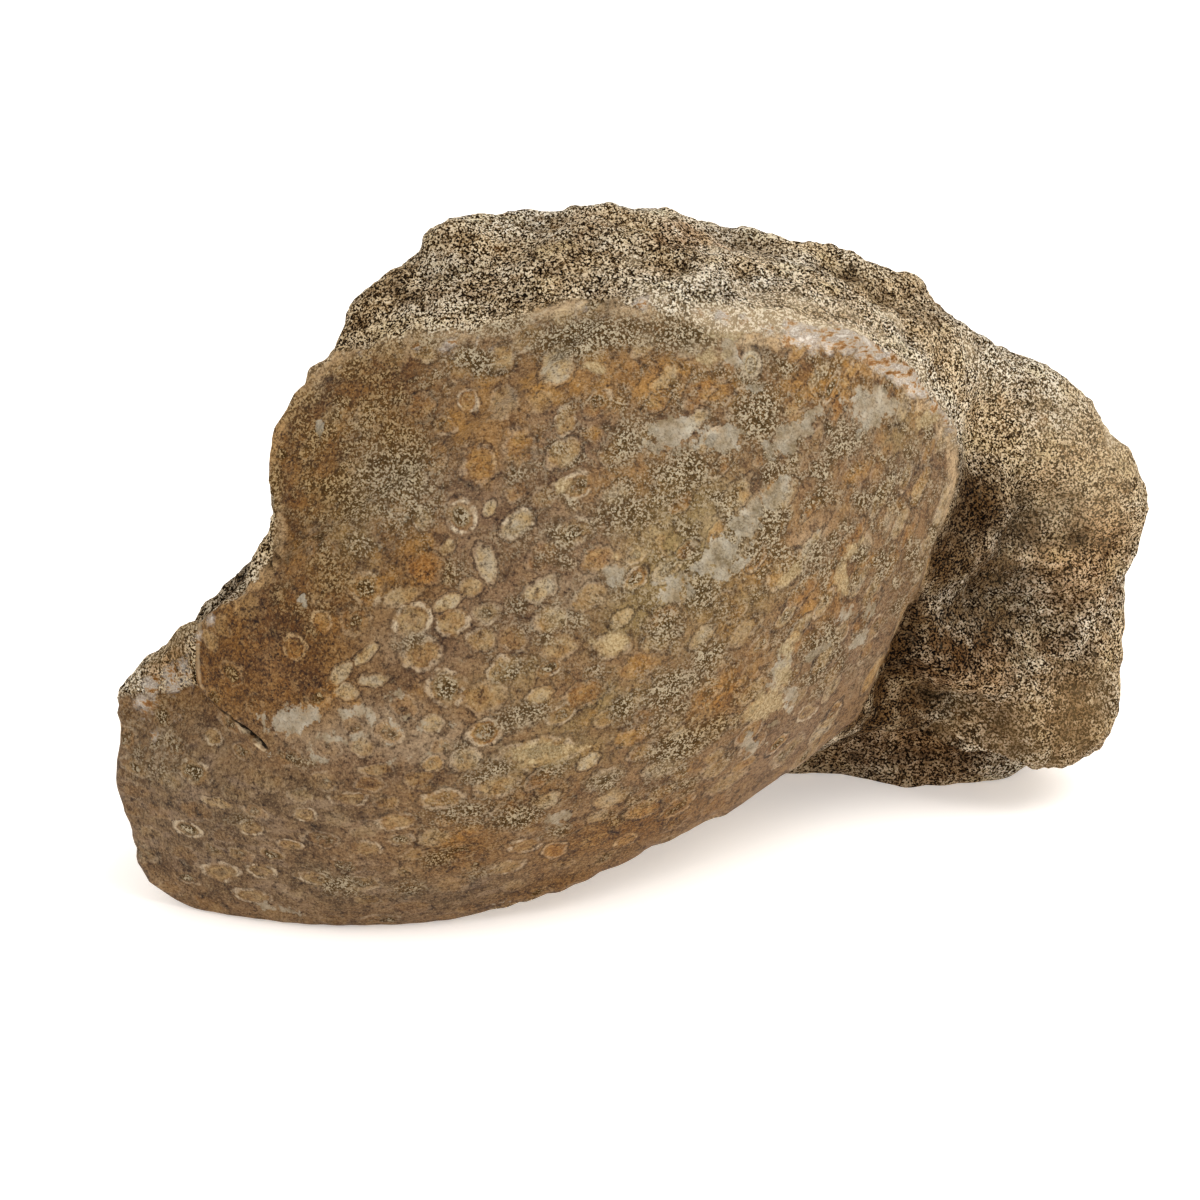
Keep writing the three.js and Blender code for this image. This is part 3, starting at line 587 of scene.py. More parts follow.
# The coral tubes, cut across: round where they meet the face square on, long
# where it cuts them at a slant. Each has its place across and up, its two half
# widths, its tilt, how clear its wall is, how filled it is, what it is filled
# with (0 rust, 0.35 ochre, 0.6 pale yellow, 0.8 cream, 1 pale grey) and how
# sandy its middle is.
TUBES = [
    (-25.3, 57.6, 2.1, 2.1, 0, 1.15, 0.35, 0.45, 0.7),
    (-30.4, 57, 1.3, 1.3, 0, 0.7, 0.6, 0.65, 0.3), (-24.6, 69.2, 1.4, 1.3, 0, 0.8, 0.5, 0.3, 0.0),
    (-23.2, 63.2, 2.4, 2.2, 30, 0.35, 0.55, 0.42, 0.0),
    (-17.8, 65.3, 2.2, 2.2, 0, 0.3, 0.5, 0.38, 0.1), (-12, 68.2, 1.4, 1.8, 0, 0.7, 0.6, 0.55, 0.2),
    (-18, 57, 2.5, 1.5, 30, 0.9, 0.8, 0.85, 0.0), (-21.7, 58.6, 1.2, 0.7, 45, 0.3, 0.9, 0.8, 0.0),
    (-22, 52.5, 2.3, 1.4, 105, 0.3, 0.8, 0.9, 0.0), (-27, 54.2, 1.2, 0.8, 50, 0.2, 0.8, 0.9, 0.0),
    (-37.6, 48.7, 2.3, 2.2, 0, 0.8, 0.5, 0.4, 0.9),
    (-31.5, 45.6, 2.8, 2.0, 20, 1.0, 0.45, 0.65, 0.3),
    (-26.2, 45.7, 2.2, 1.7, 25, 0.75, 0.6, 0.55, 0.2),
    (-26.8, 47.9, 2.3, 0.9, 25, 0.2, 0.9, 0.8, 0.0),
    (-30.5, 41.6, 2.8, 2.1, 10, 0.6, 0.6, 0.5, 0.3), (-13.8, 46, 2.2, 1.8, 0, 0.4, 0.8, 0.65, 0.0),
    (-12.5, 42.6, 2.6, 1.5, 10, 0.3, 0.45, 0.55, 0.1),
    (-18.5, 43.8, 2.0, 1.9, 0, 0.4, 0.35, 0.45, 0.3),
    (-22.5, 43.7, 2.0, 1.6, 10, 0.5, 0.6, 0.6, 0.2), (-27, 37.6, 3.0, 2.5, 0, 0.7, 0.3, 0.6, 1.0),
    (-22.5, 36.5, 3.4, 2.2, 10, 0.25, 0.5, 0.55, 0.2),
    (-15.2, 28.6, 5.4, 2.3, 4, 0.6, 0.45, 0.6, 0.5), (-3.2, 29, 3.0, 1.3, 8, 0.3, 0.55, 0.4, 0.0),
    (-6, 42.2, 2.5, 1.7, 10, 0.3, 0.6, 0.75, 0.0), (-2.7, 38.9, 2.5, 1.7, 10, 0.15, 0.4, 0.35, 0.1),
    (-21, 24.2, 2.9, 1.8, 15, 0.6, 0.7, 0.7, 0.0), (-2, 16.5, 2.7, 1.6, 10, 0.5, 0.7, 0.5, 0.2),
    (-17.5, 13.8, 2.6, 1.4, 8, 0.8, 0.4, 0.4, 0.0), (-13.5, 12, 1.8, 1.6, 0, 0.5, 0.7, 0.3, 0.0),
    (-4, 11, 1.8, 1.2, 10, 0.8, 0.4, 0.5, 0.0), (-15, 49.6, 2.6, 1.3, 30, 0.3, 0.85, 0.8, 0.0),
    (-47, 40.6, 1.8, 1.6, 0, 0.9, 0.3, 0.5, 0.2), (-43.5, 44, 1.5, 1.5, 0, 0.9, 0.5, 0.4, 0.0),
    (-58.5, 39, 1.3, 1.2, 0, 0.4, 0.5, 0.75, 0.0), (-61, 21.8, 2.5, 1.7, 0, 0.7, 0.4, 0.5, 0.9),
    (-58.5, 26.4, 1.4, 1.1, 0, 0.7, 0.5, 0.6, 0.0), (-62.3, 13.4, 2.3, 1.2, 0, 0.9, 0.2, 0.5, 0.8),
    (-58, 7.7, 2.7, 1.7, 5, 0.8, 0.3, 0.5, 0.2), (-52.4, 9.1, 2.2, 1.2, 5, 0.9, 0.2, 0.5, 0.2),
    (-54, 4.6, 2.9, 1.2, 0, 0.8, 0.3, 0.5, 0.0), (-45, 9, 2.9, 1.2, 0, 0.8, 0.3, 0.45, 0.0),
    (-45.8, 19, 1.8, 1.1, 0, 0.85, 0.3, 0.5, 0.0), (-53.5, 15.7, 2.0, 1.2, 0, 0.75, 0.3, 0.5, 0.0),
    (-40.2, 36.1, 1.9, 1.2, 10, 0.5, 0.8, 0.9, 0.0), (-41, 38.1, 2.3, 1.0, 45, 0.3, 0.9, 0.95, 0.0),
    (-37.5, 41, 2.4, 0.7, 38, 0.2, 0.9, 0.85, 0.0), (-36.5, 38, 2.3, 0.9, 8, 0.2, 0.8, 0.9, 0.0),
    (12.2, 73.4, 1.4, 1.9, 0, 1.5, 1.0, 1.05, 0.0), (20.5, 24.6, 1.6, 1.4, 0, 0.9, 0.2, 0.6, 0.0),
    (-46.3, 61, 0.9, 0.9, 0, 0.9, 0.4, 0.5, 0.2), (-47.3, 58.4, 1.5, 1.2, 70, 0.5, 0.2, 0.5, 0.0),
    (-33, 48.2, 2.6, 1.1, 20, 0.3, 0.7, 0.7, 0.0), (16.8, 47.8, 3.2, 2.0, 35, 0.6, 0.6, 0.5, 0.0),
    (-8.8, 48.5, 2.6, 1.5, 25, 0.3, 0.6, 0.6, 0.2), (-58, 18.5, 2.2, 0.8, 0, 0.3, 0.5, 0.6, 0.0),
    (-36, 26.5, 3.0, 0.8, 8, 0.3, 0.5, 0.6, 0.0), (-40, 22, 2.6, 1.0, 5, 0.6, 0.3, 0.55, 0.0),
    (-34, 19, 2.8, 1.3, 8, 0.7, 0.5, 0.4, 0.0), (-38, 14.5, 2.4, 1.3, 0, 0.75, 0.3, 0.5, 0.1),
    (-48, 14, 2.2, 0.9, 0, 0.7, 0.4, 0.55, 0.0), (-28, 22.5, 3.2, 1.5, 12, 0.65, 0.6, 0.45, 0.1),
    (-20, 10, 2.6, 1.2, 10, 0.6, 0.4, 0.5, 0.0),
]
# The fainter tubes between them fall at random, and keep clear of each other.
TUBE_TRIES = 5000
TUBE_SEED = 47
TUBES_FROM_X, TUBES_TO_X, TUBES_FROM_Z, TUBES_TO_Z = -72, 40, 1, 80
TUBE_HALF_LEAST, TUBE_HALF_MOST = 1.3, 2.2
TUBE_REACH = 1.45  # how far past its wall a tube's own marks go
TUBES_END = -1.5  # how far inside the rim the tubes end, here a little outside it


def tube_run(x, z):
    """How long and how tilted the cut tubes are in a part of the face."""
    slant = 1.25 + 0.012 * (x + 40)
    slant = slant + 0.9 * ease(-z, -34, -16) * ease(-x, 20, 50) + 0.7 * ease(x, 5, 25)
    tilt = 26 * ease(x, -45, -18) + 14 * ease(x, -5, 12) + 24 * ease(x, 14, 30)
    return slant, tilt - 10 * ease(-z, -24, -6)


draw = random.Random(TUBE_SEED)
tubes = list(TUBES)
for _ in range(TUBE_TRIES):
    spot_x = draw.uniform(TUBES_FROM_X, TUBES_TO_X)
    spot_z = draw.uniform(TUBES_FROM_Z, TUBES_TO_Z)
    slant, tilt = (float(v) for v in tube_run(np.array(spot_x), np.array(spot_z)))
    half = draw.uniform(TUBE_HALF_LEAST, TUBE_HALF_MOST)
    long, short = half * slant**0.5, half / slant**0.5
    looks = [draw.random() for _ in range(4)]
    if any(
        math.hypot(
            (spot_x - other[0]) / (long + other[2]), (spot_z - other[1]) / (short + other[3])
        ) < 1.0
        for other in tubes
    ):
        continue
    # Tubes are clearer and fuller away from the face's left and lower edges.
    inland = float(ease(np.array(spot_x), -48, -22)) * float(ease(np.array(spot_z), 8, 22))
    wall = 0.12 + (0.28 + 0.4 * inland) * looks[0] ** 2
    filled = 0.1 + 0.18 * inland + (0.22 + 0.45 * inland) * looks[1]
    warm = 0.4 + 0.12 * inland + 0.75 * (looks[2] - 0.5)
    tilt = tilt + 20 * (looks[3] - 0.5)
    tubes.append((spot_x, spot_z, long, short, tilt, wall, filled, warm, looks[0] * 0.6))

corner_vertex = np.zeros(len(skin_mesh.loops), np.int64)
skin_mesh.loops.foreach_get("vertex_index", corner_vertex)
corners = read(skin_mesh, "polygons", "loop_total", 1)[:, 0].astype(int)
corner_face = np.repeat(np.arange(len(skin_mesh.polygons)), corners)
corner_x, corner_z = x[corner_vertex], z[corner_vertex]
face_size = np.bincount(corner_face)
middle_x = np.bincount(corner_face, corner_x) / face_size
middle_z = np.bincount(corner_face, corner_z) / face_size
on_front = np.bincount(corner_face, worn_depth[corner_vertex]) / face_size > TUBES_END
closest = np.full(len(face_size), TUBE_REACH)
owner = np.full(len(face_size), -1)
# Each face of the mesh belongs to the tube that it is nearest to, and each of its
# corners holds its place in that tube, 1 at the wall, and how sandy the middle is.
for index, tube in enumerate(tubes):
    u, v = in_oval(middle_x, middle_z, tube)
    away = np.where(on_front, np.hypot(u, v), FAR)
    nearer = away < closest
    closest[nearer] = away[nearer]
    owner[nearer] = index
inner = np.full((len(corner_vertex), 3), 3.0)  # outside any tube
inner[:, 2] = 0.0
looks = np.zeros((len(face_size), 3))
corner_owner = owner[corner_face]
for index, tube in enumerate(tubes):
    mine = corner_owner == index
    u, v = in_oval(corner_x[mine], corner_z[mine], tube)
    inner[mine] = np.stack([u, v, np.full(u.shape, tube[8])], 1)
    looks[owner == index] = tube[5:8]
keep_attribute(skin_mesh, "tube_place", "FLOAT_VECTOR", "CORNER", inner)
keep_attribute(skin_mesh, "tube_looks", "FLOAT_VECTOR", "FACE", looks)


def linear(code):
    """A screen colour such as 7d6a50 as the linear values a shader takes."""
    parts = [int(code[i : i + 2], 16) / 255 for i in (0, 2, 4)]
    return [p / 12.92 if p <= 0.04045 else ((p + 0.055) / 1.055) ** 2.4 for p in parts] + [1.0]


# Sandy fossil limestone, broken and worn. Broken, it is sugary: pale sand
# grains stand in darker cement, dull and rough; the gaps between the grains
# carry painted shade and their tops painted highlight. Worn, the cement is
# polished smooth and brown, with the coral's calcite a shade paler and slightly glossy.
limestone = bpy.data.materials.new("sandy_limestone_worn_and_broken")
limestone.use_nodes = True
tree = limestone.node_tree
tree.nodes.clear()


def add(kind, sockets=None, **settings):
    """Adds a shader node with its settings, and values or links for its sockets."""
    made = tree.nodes.new("ShaderNode" + kind)
    for name, value in settings.items():
        setattr(made, name, value)
    for name, value in (sockets or {}).items():
        if isinstance(value, bpy.types.NodeSocket):
            tree.links.new(value, made.inputs[name])
        else:
            made.inputs[name].default_value = value
    return made


object_place = add("TexCoord").outputs["Object"]

# Clouds of noise: their lumps in millimetres, detail, roughness, and how much
# each is squeezed across, in depth and up. Each starts elsewhere in the noise.
GRAIN = 0.24  # one lump of the noise: a sand grain and its gap take about two
EVEN = (1, 1, 1)
BEDDED = (1, 0.62, 1)  # grains lie drawn out front to back
CLOUD_APART = 0.01  # metres
clouds, cloud_colours = {}, {}
for name, size, detail, rough, squeeze in [
    ("grain", GRAIN, 3.0, 0.7, BEDDED), ("pit", 1.2, 3.0, 0.6, EVEN),
    ("ground", 16, 3.0, 0.6, EVEN), ("bed", 5.0, 4.0, 0.65, (0.5, 0.6, 1.6)),
    ("edge", 1.9, 4.0, 0.65, EVEN), ("chip", 1.3, 5.0, 0.7, (0.6, 0.7, 1.3)),
    ("blotch", 6.5, 4.0, 0.62, EVEN), ("mottle", 2.4, 4.0, 0.65, EVEN),
    ("streak", 2.2, 3.0, 0.6, (0.25, 1, 1.3)), ("fleck", 1.0, 4.0, 0.7, EVEN),
    ("speck", 0.34, 3.0, 0.75, EVEN), ("wander", 2.2, 3.0, 0.6, EVEN),
    ("break", 1.6, 2.0, 0.5, EVEN), ("sandy", 3.2, 3.0, 0.6, EVEN), ("rim", 2.2, 4.0, 0.6, EVEN),
]:
    shift = CLOUD_APART * len(clouds)
    sockets = {"Vector": object_place, "Scale": squeeze, "Location": (shift, -shift, 2 * shift)}
    place = add("Mapping", sockets).outputs[0]
    sockets = {"Vector": place, "Scale": 1 / (size * MM), "Detail": detail, "Roughness": rough}
    cloud = add("TexNoise", sockets)
    clouds[name], cloud_colours[name] = cloud.outputs["Fac"], cloud.outputs["Color"]

# Sand: angular grains with dark gaps between them, no two equally light, and
# clumped. The facets are the grains' own broken faces, each of one tone.
laid = add("Mapping", {"Vector": object_place, "Scale": BEDDED})
facets = add("TexVoronoi", {"Vector": laid.outputs[0], "Scale": 1 / (GRAIN * MM)})
facet_shade = add("SeparateColor", {0: facets.outputs["Color"]}).outputs[0]
grain_light = clouds["grain"]
for shade, share in [(facet_shade, 0.4), (clouds["pit"], 0.12), (clouds["bed"], 0.12)]:
    centred = add("Math", {0: shade, 1: 0.5}, operation="SUBTRACT").outputs[0]
    sockets = {0: centred, 1: share, 2: grain_light}
    grain_light = add("Math", sockets, operation="MULTIPLY_ADD").outputs[0]

centred = add("Math", {0: clouds["fleck"], 1: 0.5}, operation="SUBTRACT").outputs[0]
face_grain = add("Math", {0: centred, 1: 0.4, 2: grain_light}, operation="MULTIPLY_ADD").outputs[0]

# Coral tubes: where in its tube a place is. A faint wall wanders more than a
# clear one.
in_tube = add("Attribute", attribute_name="tube_place").outputs["Vector"]
tube_looks = add("Attribute", attribute_name="tube_looks").outputs["Vector"]
wall_clear, fill_strong, fill_tone = add("SeparateXYZ", {0: tube_looks}).outputs
middle_sandy = add("SeparateXYZ", {0: in_tube}).outputs[2]
wander_far = add("Math", {0: wall_clear, 1: -1.1, 2: 1.8}, operation="MULTIPLY_ADD").outputs[0]
centred = add("VectorMath", {0: cloud_colours["wander"], 1: (0.5, 0.5, 0.5)}, operation="SUBTRACT")
wandered = add("VectorMath", {0: centred.outputs[0], "Scale": wander_far}, operation="SCALE")
moved = add("VectorMath", {0: wandered.outputs[0], 1: in_tube}, operation="ADD")
flat = add("VectorMath", {0: moved.outputs[0], 1: (1, 1, 0)}, operation="MULTIPLY")
radius = add("VectorMath", {0: flat.outputs[0]}, operation="LENGTH").outputs["Value"]
tube_away = add("VectorMath", {0: in_tube, 1: (1, 1, 0)}, operation="MULTIPLY")
tube_away = add("VectorMath", {0: tube_away.outputs[0]}, operation="LENGTH").outputs["Value"]
blotchy = add("Math", {0: clouds["mottle"], 1: 0.5}, operation="SUBTRACT").outputs[0]
filling = add("Math", {0: blotchy, 1: 1.7, 2: fill_tone}, operation="MULTIPLY_ADD").outputs[0]

# Lines drawn where a tube's radius or the crack's side has one value.
uneven = add("Math", {0: clouds["edge"], 1: 0.5}, operation="SUBTRACT").outputs[0]
crack_side = add("Attribute", attribute_name="crack_side").outputs["Fac"]
crack_side = add("Math", {0: uneven, 1: 0.9, 2: crack_side}, operation="MULTIPLY_ADD").outputs[0]
lines = {}
for name, value, where in [
    ("wall_line", radius, 0.86), ("core_line", radius, 0.48), ("halo_line", radius, 1.1),
    ("crack_line", crack_side, 0.1), ("lip_line", crack_side, 0.55),
]:
    away = add("Math", {0: value, 1: where}, operation="SUBTRACT").outputs[0]
    lines[name] = add("Math", {0: away}, operation="ABSOLUTE").outputs[0]

# How far each marking covers the stone: those stored on the skin, each with how
# ragged its edge is, and then those that follow a cloud or a line. Each starts at
# one value, is full at the other, and covers the stone by so much at most.
covers = {"wall_clear": wall_clear, "fill_strong": fill_strong}
runs = []
for name, ragged, start, end, most in [
    ("warm", 1.1, 0.1, 0.9, 0.7), ("dusty", 0.9, 0.1, 0.9, 0.34), ("crust", 0.9, 0.05, 0.75, 0.66),
    ("dark", 1.3, 0.05, 1.0, 0.96), ("rubbed", 0.9, 0.1, 1.0, 0.5), ("spar", 1.5, 0.35, 0.8, 0.85),
    ("umber", 0.9, 0.0, 0.8, 0.95), ("mauve", 0.9, 0.0, 0.8, 0.9), ("olive", 0.9, 0.0, 0.8, 0.9),
    ("ash", 0.9, 0.0, 0.8, 0.95), ("tan", 0.9, 0.0, 0.8, 0.85), ("haze", 1.2, 0.15, 0.95, 0.6),
    ("ledge_rim_highlight", 2.2, 0.35, 1.0, 0.5), ("gritty", 0.8, -0.1, 0.9, 1.0),
    ("rust", 1.1, 0.2, 0.85, 0.65), ("ochre", 1.4, 0.3, 0.8, 0.72), ("grey", 2.0, 0.42, 0.56, 0.72),
    ("cream", 1.5, 0.38, 0.66, 0.65), ("sand", 1.2, 0.1, 1.0, 1.0),
    ("top_edge_highlight", 2.2, 0.3, 0.9, 0.6),
]:
    held = add("Attribute", attribute_name=name).outputs["Fac"]
    value = add("Math", {0: uneven, 1: ragged, 2: held}, operation="MULTIPLY_ADD").outputs[0]
    runs.append((name, value, start, end, most))
for name in ["hairline", "lip_clear"]:
    covers[name] = add("Attribute", attribute_name=name).outputs["Fac"]
low = add("Attribute", attribute_name="low_lying").outputs["Fac"]
middle = add("Math", {0: uneven, 1: 1.2, 2: middle_sandy}, operation="MULTIPLY_ADD").outputs[0]
runs += [
    ("pale_grain", face_grain, 0.52, 0.6, 1.0), ("dark_gap", face_grain, 0.5, 0.4, 0.95),
    ("warm_ground", clouds["ground"], 0.35, 0.65, 1.0),
    ("olive_bed", clouds["bed"], 0.5, 0.65, 0.5), ("dark_bed", clouds["bed"], 0.48, 0.34, 0.7),
    ("hollow", low, 0.1, 0.9, 0.6), ("high_spot", low, -0.15, -0.9, 0.4),
    ("pitted", clouds["pit"], 0.44, 0.32, 0.6), ("rusty_grain", clouds["mottle"], 0.58, 0.74, 0.35),
    ("pale_blotch", clouds["blotch"], 0.52, 0.66, 0.55),
    ("dark_blotch", clouds["blotch"], 0.48, 0.34, 0.6),
    ("pale_mottle", clouds["mottle"], 0.5, 0.68, 0.55),
    ("dark_mottle", clouds["mottle"], 0.48, 0.32, 0.7),
    ("pale_streak", clouds["streak"], 0.5, 0.66, 0.6),
    ("dark_streak", clouds["streak"], 0.48, 0.34, 0.6),
    ("wall_line", lines["wall_line"], 0.22, 0.04, 0.85),
    ("core_line", lines["core_line"], 0.12, 0.02, 0.5),
    ("halo_line", lines["halo_line"], 0.16, 0.02, 0.8),
    ("unbroken", clouds["break"], 0.4, 0.6, 1.0), ("inside_wall", radius, 1.05, 0.65, 0.9),
    ("own_ground", tube_away, 1.2, 0.85, 1.0), ("sandy_middle", middle, 0.35, 0.7, 1.0),
    ("in_middle", radius, 0.65, 0.3, 1.0), ("loose_sand", clouds["sandy"], 0.4, 0.66, 0.9),
    ("dark_fleck", clouds["fleck"], 0.48, 0.32, 0.85),
    ("pale_fleck", clouds["fleck"], 0.53, 0.68, 0.55),
    ("dark_speck", clouds["speck"], 0.49, 0.34, 0.7),
    ("pale_speck", clouds["speck"], 0.52, 0.66, 0.62), ("dark_facet", facet_shade, 0.3, 0.05, 0.75),
    ("pale_facet", facet_shade, 0.75, 0.98, 0.7),
    ("worn_through", clouds["mottle"], 0.22, 0.46, 1.0), ("deep_gap", grain_light, 0.52, 0.4, 1.0),
    ("crack", lines["crack_line"], 0.2, 0.07, 0.95), ("lip", lines["lip_line"], 0.5, 0.15, 0.9),
]
for name, value, start, end, most in runs:
    sockets = {"Value": value, "From Min": start, "From Max": end, "To Max": most}
    covers[name] = add("MapRange", sockets, interpolation_type="SMOOTHSTEP").outputs[0]

# Markings that show only in part of another, or wherever either one does.
for name, operation, first, second in [
    ("sandy_middle", "MULTIPLY", "sandy_middle", "in_middle"),
    ("sand", "MAXIMUM", "sand", "sandy_middle"), ("loose_sand", "MULTIPLY", "loose_sand", "gritty"),
    ("sand", "MAXIMUM", "sand", "loose_sand"), ("sand_grain", "MULTIPLY", "sand", "pale_grain"),
    ("sand_gap", "MULTIPLY", "sand", "dark_gap"),
    ("fill", "MULTIPLY", "inside_wall", "fill_strong"), ("fill", "MULTIPLY", "fill", "own_ground"),
    ("fill", "MULTIPLY", "fill", "worn_through"), ("wall", "MULTIPLY", "wall_line", "wall_clear"),
    ("wall", "MULTIPLY", "wall", "unbroken"), ("core", "MULTIPLY", "core_line", "wall_clear"),
    ("halo", "MULTIPLY", "halo_line", "fill_strong"),
    ("pale_streak", "MULTIPLY", "pale_streak", "ash"),
    ("dark_streak", "MULTIPLY", "dark_streak", "ash"),
    ("crust_grain", "MULTIPLY", "crust", "pale_grain"),
    ("shaded_gaps", "MULTIPLY", "dark", "deep_gap"), ("grey_speck", "MULTIPLY", "grey", "dark_speck"),
    ("dark_facet", "MULTIPLY", "dark_facet", "umber"),
    ("pale_facet", "MULTIPLY", "pale_facet", "umber"), ("crack", "MULTIPLY", "crack", "hairline"),
    ("lip", "MULTIPLY", "lip", "lip_clear"), ("lip", "MULTIPLY", "lip", "unbroken"),
]:
    sockets = {0: covers[first], 1: covers[second]}
    covers[name] = add("Math", sockets, operation=operation).outputs[0]
SAND_GROUND = 0.5  # how far sand hides the worn ground between its grains
sand_ground = add("Math", {0: covers["sand"], 1: SAND_GROUND}, operation="MULTIPLY").outputs[0]
covers["sand_ground"] = sand_ground

# Colours that run from one to the next along a cloud: the matrix's own grains,
# what fills the tubes, lime, shell and spar.
paints = {}
for name, value, stops in [
    # The grains run from near-black, painted shade in the gaps, through their own browns and buffs
    # to near-white, painted highlight on their tops.
    ("grains", grain_light, [
        (0.38, "1d1206"), (0.435, "47361f"), (0.48, "7e694b"), (0.525, "a99574"), (0.6, "f0e5d0"),
    ]),
    ("filling", filling, [
        (0.0, "56350f"), (0.25, "7f5423"), (0.5, "94703c"), (0.75, "a58e66"), (1.0, "a49880"),
    ]),
    ("lime", clouds["mottle"], [
        (0.34, "857559"), (0.46, "948770"), (0.56, "a09682"), (0.68, "b3ab9a"),
    ]),
    ("shell", clouds["speck"], [(0.32, "745c39"), (0.48, "a08a62"), (0.66, "c2b18b")]),
    ("spar", clouds["chip"], [
        (0.38, "7d5128"), (0.43, "a67744"), (0.47, "b99f80"), (0.52, "cfc3b4"), (0.56, "a08e7e"),
        (0.62, "dcd2c4"),
    ]),
]:
    run = add("ValToRGB", {0: value})
    points = run.color_ramp.elements
    points.remove(points[1])
    for number, (position, code) in enumerate(stops):
        point = points[0] if number == 0 else points.new(position)
        point.position = position
        point.color = linear(code)
    paints[name] = run.outputs[0]

# The worn face ends in a ragged edge.
worn_depth_held = add("Attribute", attribute_name="worn_depth").outputs["Fac"]
sockets = {0: clouds["rim"], 1: 2.6, 2: worn_depth_held}
worn_edge = add("Math", sockets, operation="MULTIPLY_ADD").outputs[0]
sockets = {"Value": worn_edge, "From Min": 0.9, "From Max": 1.8}
covers["worn"] = add("MapRange", sockets, interpolation_type="SMOOTHSTEP").outputs[0]

# The coats that make up each kind of surface, one over the other. MIX covers
# what lies under it, MULTIPLY darkens it and SCREEN lightens it. Last, the worn
# face, the spar and the crack go over the matrix; the crack is painted near
# black, as painted shadow inside the gap.
UNDER, OVER = 6, 7  # where a Mix node takes its two colours
for name, ground, coats in [
    ("matrix", "grains", [
        ("warm_ground", "f2e4ce", "MULTIPLY"), ("olive_bed", "e6e2ca", "MULTIPLY"),
        ("dark_bed", "c2b090", "MULTIPLY"), ("rusty_grain", "9a6c3a", "MIX"),
        # The dark coat is painted shade, and in its grain gaps the shade is painted deeper still.
        ("warm", "e8c49a", "MULTIPLY"), ("dark", "755e3f", "MULTIPLY"),
        # The hollow coat is painted shade with dirt, and the high_spot coat painted highlight with
        # dust and wear.
        ("shaded_gaps", "2e200c", "MULTIPLY"), ("hollow", "8e785a", "MULTIPLY"),
        ("high_spot", "453b2c", "SCREEN"), ("rubbed", "7a6342", "MIX"), ("dusty", "b8a07a", "MIX"),
        ("pitted", "a08c74", "MULTIPLY"), ("crust", "bfa783", "MIX"),
        ("crust_grain", "eddfc6", "MIX"),
    ]),
    ("worn", "725536", [
        ("umber", "6b4a1c", "MIX"), ("mauve", "6c523b", "MIX"), ("olive", "7d693f", "MIX"),
        ("ash", "644e36", "MIX"), ("tan", "865f2e", "MIX"), ("haze", "96836b", "MIX"),
        ("dark_blotch", "a89078", "MULTIPLY"), ("pale_blotch", "33291a", "SCREEN"),
        ("rust", "967150", "MULTIPLY"), ("ochre", "94692b", "MIX"),
        ("dark_mottle", "8a7257", "MULTIPLY"), ("pale_mottle", "3f3423", "SCREEN"),
        ("dark_streak", "8c7a6a", "MULTIPLY"), ("pale_streak", "62554a", "SCREEN"),
        # The pale coat along the face's top edge is a painted highlight.
        ("fill", "filling", "MIX"), ("halo", "5e4a34", "MULTIPLY"), ("top_edge_highlight", "bda27c", "MIX"),
        ("core", "a08558", "MIX"), ("wall", "b5a388", "MIX"), ("dark_fleck", "6d5740", "MULTIPLY"),
        ("pale_fleck", "54462f", "SCREEN"), ("dark_speck", "5c4832", "MULTIPLY"),
        ("pale_speck", "75644a", "SCREEN"), ("dark_facet", "5c4832", "MULTIPLY"),
        ("pale_facet", "63523a", "SCREEN"), ("sand_ground", "664f31", "MIX"),
        ("sand_grain", "b9aa8e", "MIX"), ("sand_gap", "46361f", "MIX"),
        ("umber", "f6e4c4", "MULTIPLY"), ("grey", "lime", "MIX"),
        ("grey_speck", "a08d74", "MULTIPLY"), ("cream", "shell", "MIX"), ("lip", "c4ae8c", "MIX"),
        # The pale coat along the ledge's rim is a painted highlight.
        ("ledge_rim_highlight", "b59c78", "MIX"),
    ]),
    ("stone", "matrix", [
        # The crack's near-black coat is painted shadow inside the gap.
        ("worn", "worn", "MIX"), ("spar", "spar", "MIX"), ("crack", "1c140b", "MIX"),
    ]),
]:
    under = paints.get(ground) or linear(ground)
    for cover, code, how in coats:
        over = paints.get(code) or linear(code)
        sockets = {"Factor": covers[cover], UNDER: under, OVER: over}
        under = add("Mix", sockets, data_type="RGBA", blend_type=how).outputs[2]
    paints[name] = under

# Relief too fine for the mesh: sand grains and the pits between them, a shallow
# skin of pores and faint walls on the worn face, and sharp edges on the spar.
# Each follows a value, shows on one part, and is so many millimetres high. The
# stone is dull where it is broken or sandy, and faintly polished where it's worn.
sand_left = add("Math", {0: 1.0, 1: covers["sand"]}, operation="SUBTRACT").outputs[0]
smooth_part = add("Math", {0: sand_left, 1: covers["worn"]}, operation="MULTIPLY").outputs[0]
rough_part = add("Math", {0: smooth_part, 1: -0.9, 2: 1.0}, operation="MULTIPLY_ADD").outputs[0]
height = 0.0
for value, part, proud in [
    (grain_light, rough_part, 0.45), (clouds["pit"], rough_part, 0.9),
    (clouds["speck"], covers["worn"], 0.1), (clouds["mottle"], covers["worn"], 0.25),
    (clouds["chip"], covers["spar"], 0.9), (covers["wall"], covers["worn"], 0.1),
]:
    lifted = add("Math", {0: part, 1: proud * MM}, operation="MULTIPLY").outputs[0]
    height = add("Math", {0: value, 1: lifted, 2: height}, operation="MULTIPLY_ADD").outputs[0]
bump = add("Bump", {"Height": height, "Strength": 1.0, "Distance": 1.0})
roughness = add("MapRange", {"Value": rough_part, "To Min": 0.6, "To Max": 0.92}).outputs[0]
shine = add("MapRange", {"Value": rough_part, "To Min": 0.18, "To Max": 0.03}).outputs[0]
LIMESTONE_IOR = 1.5
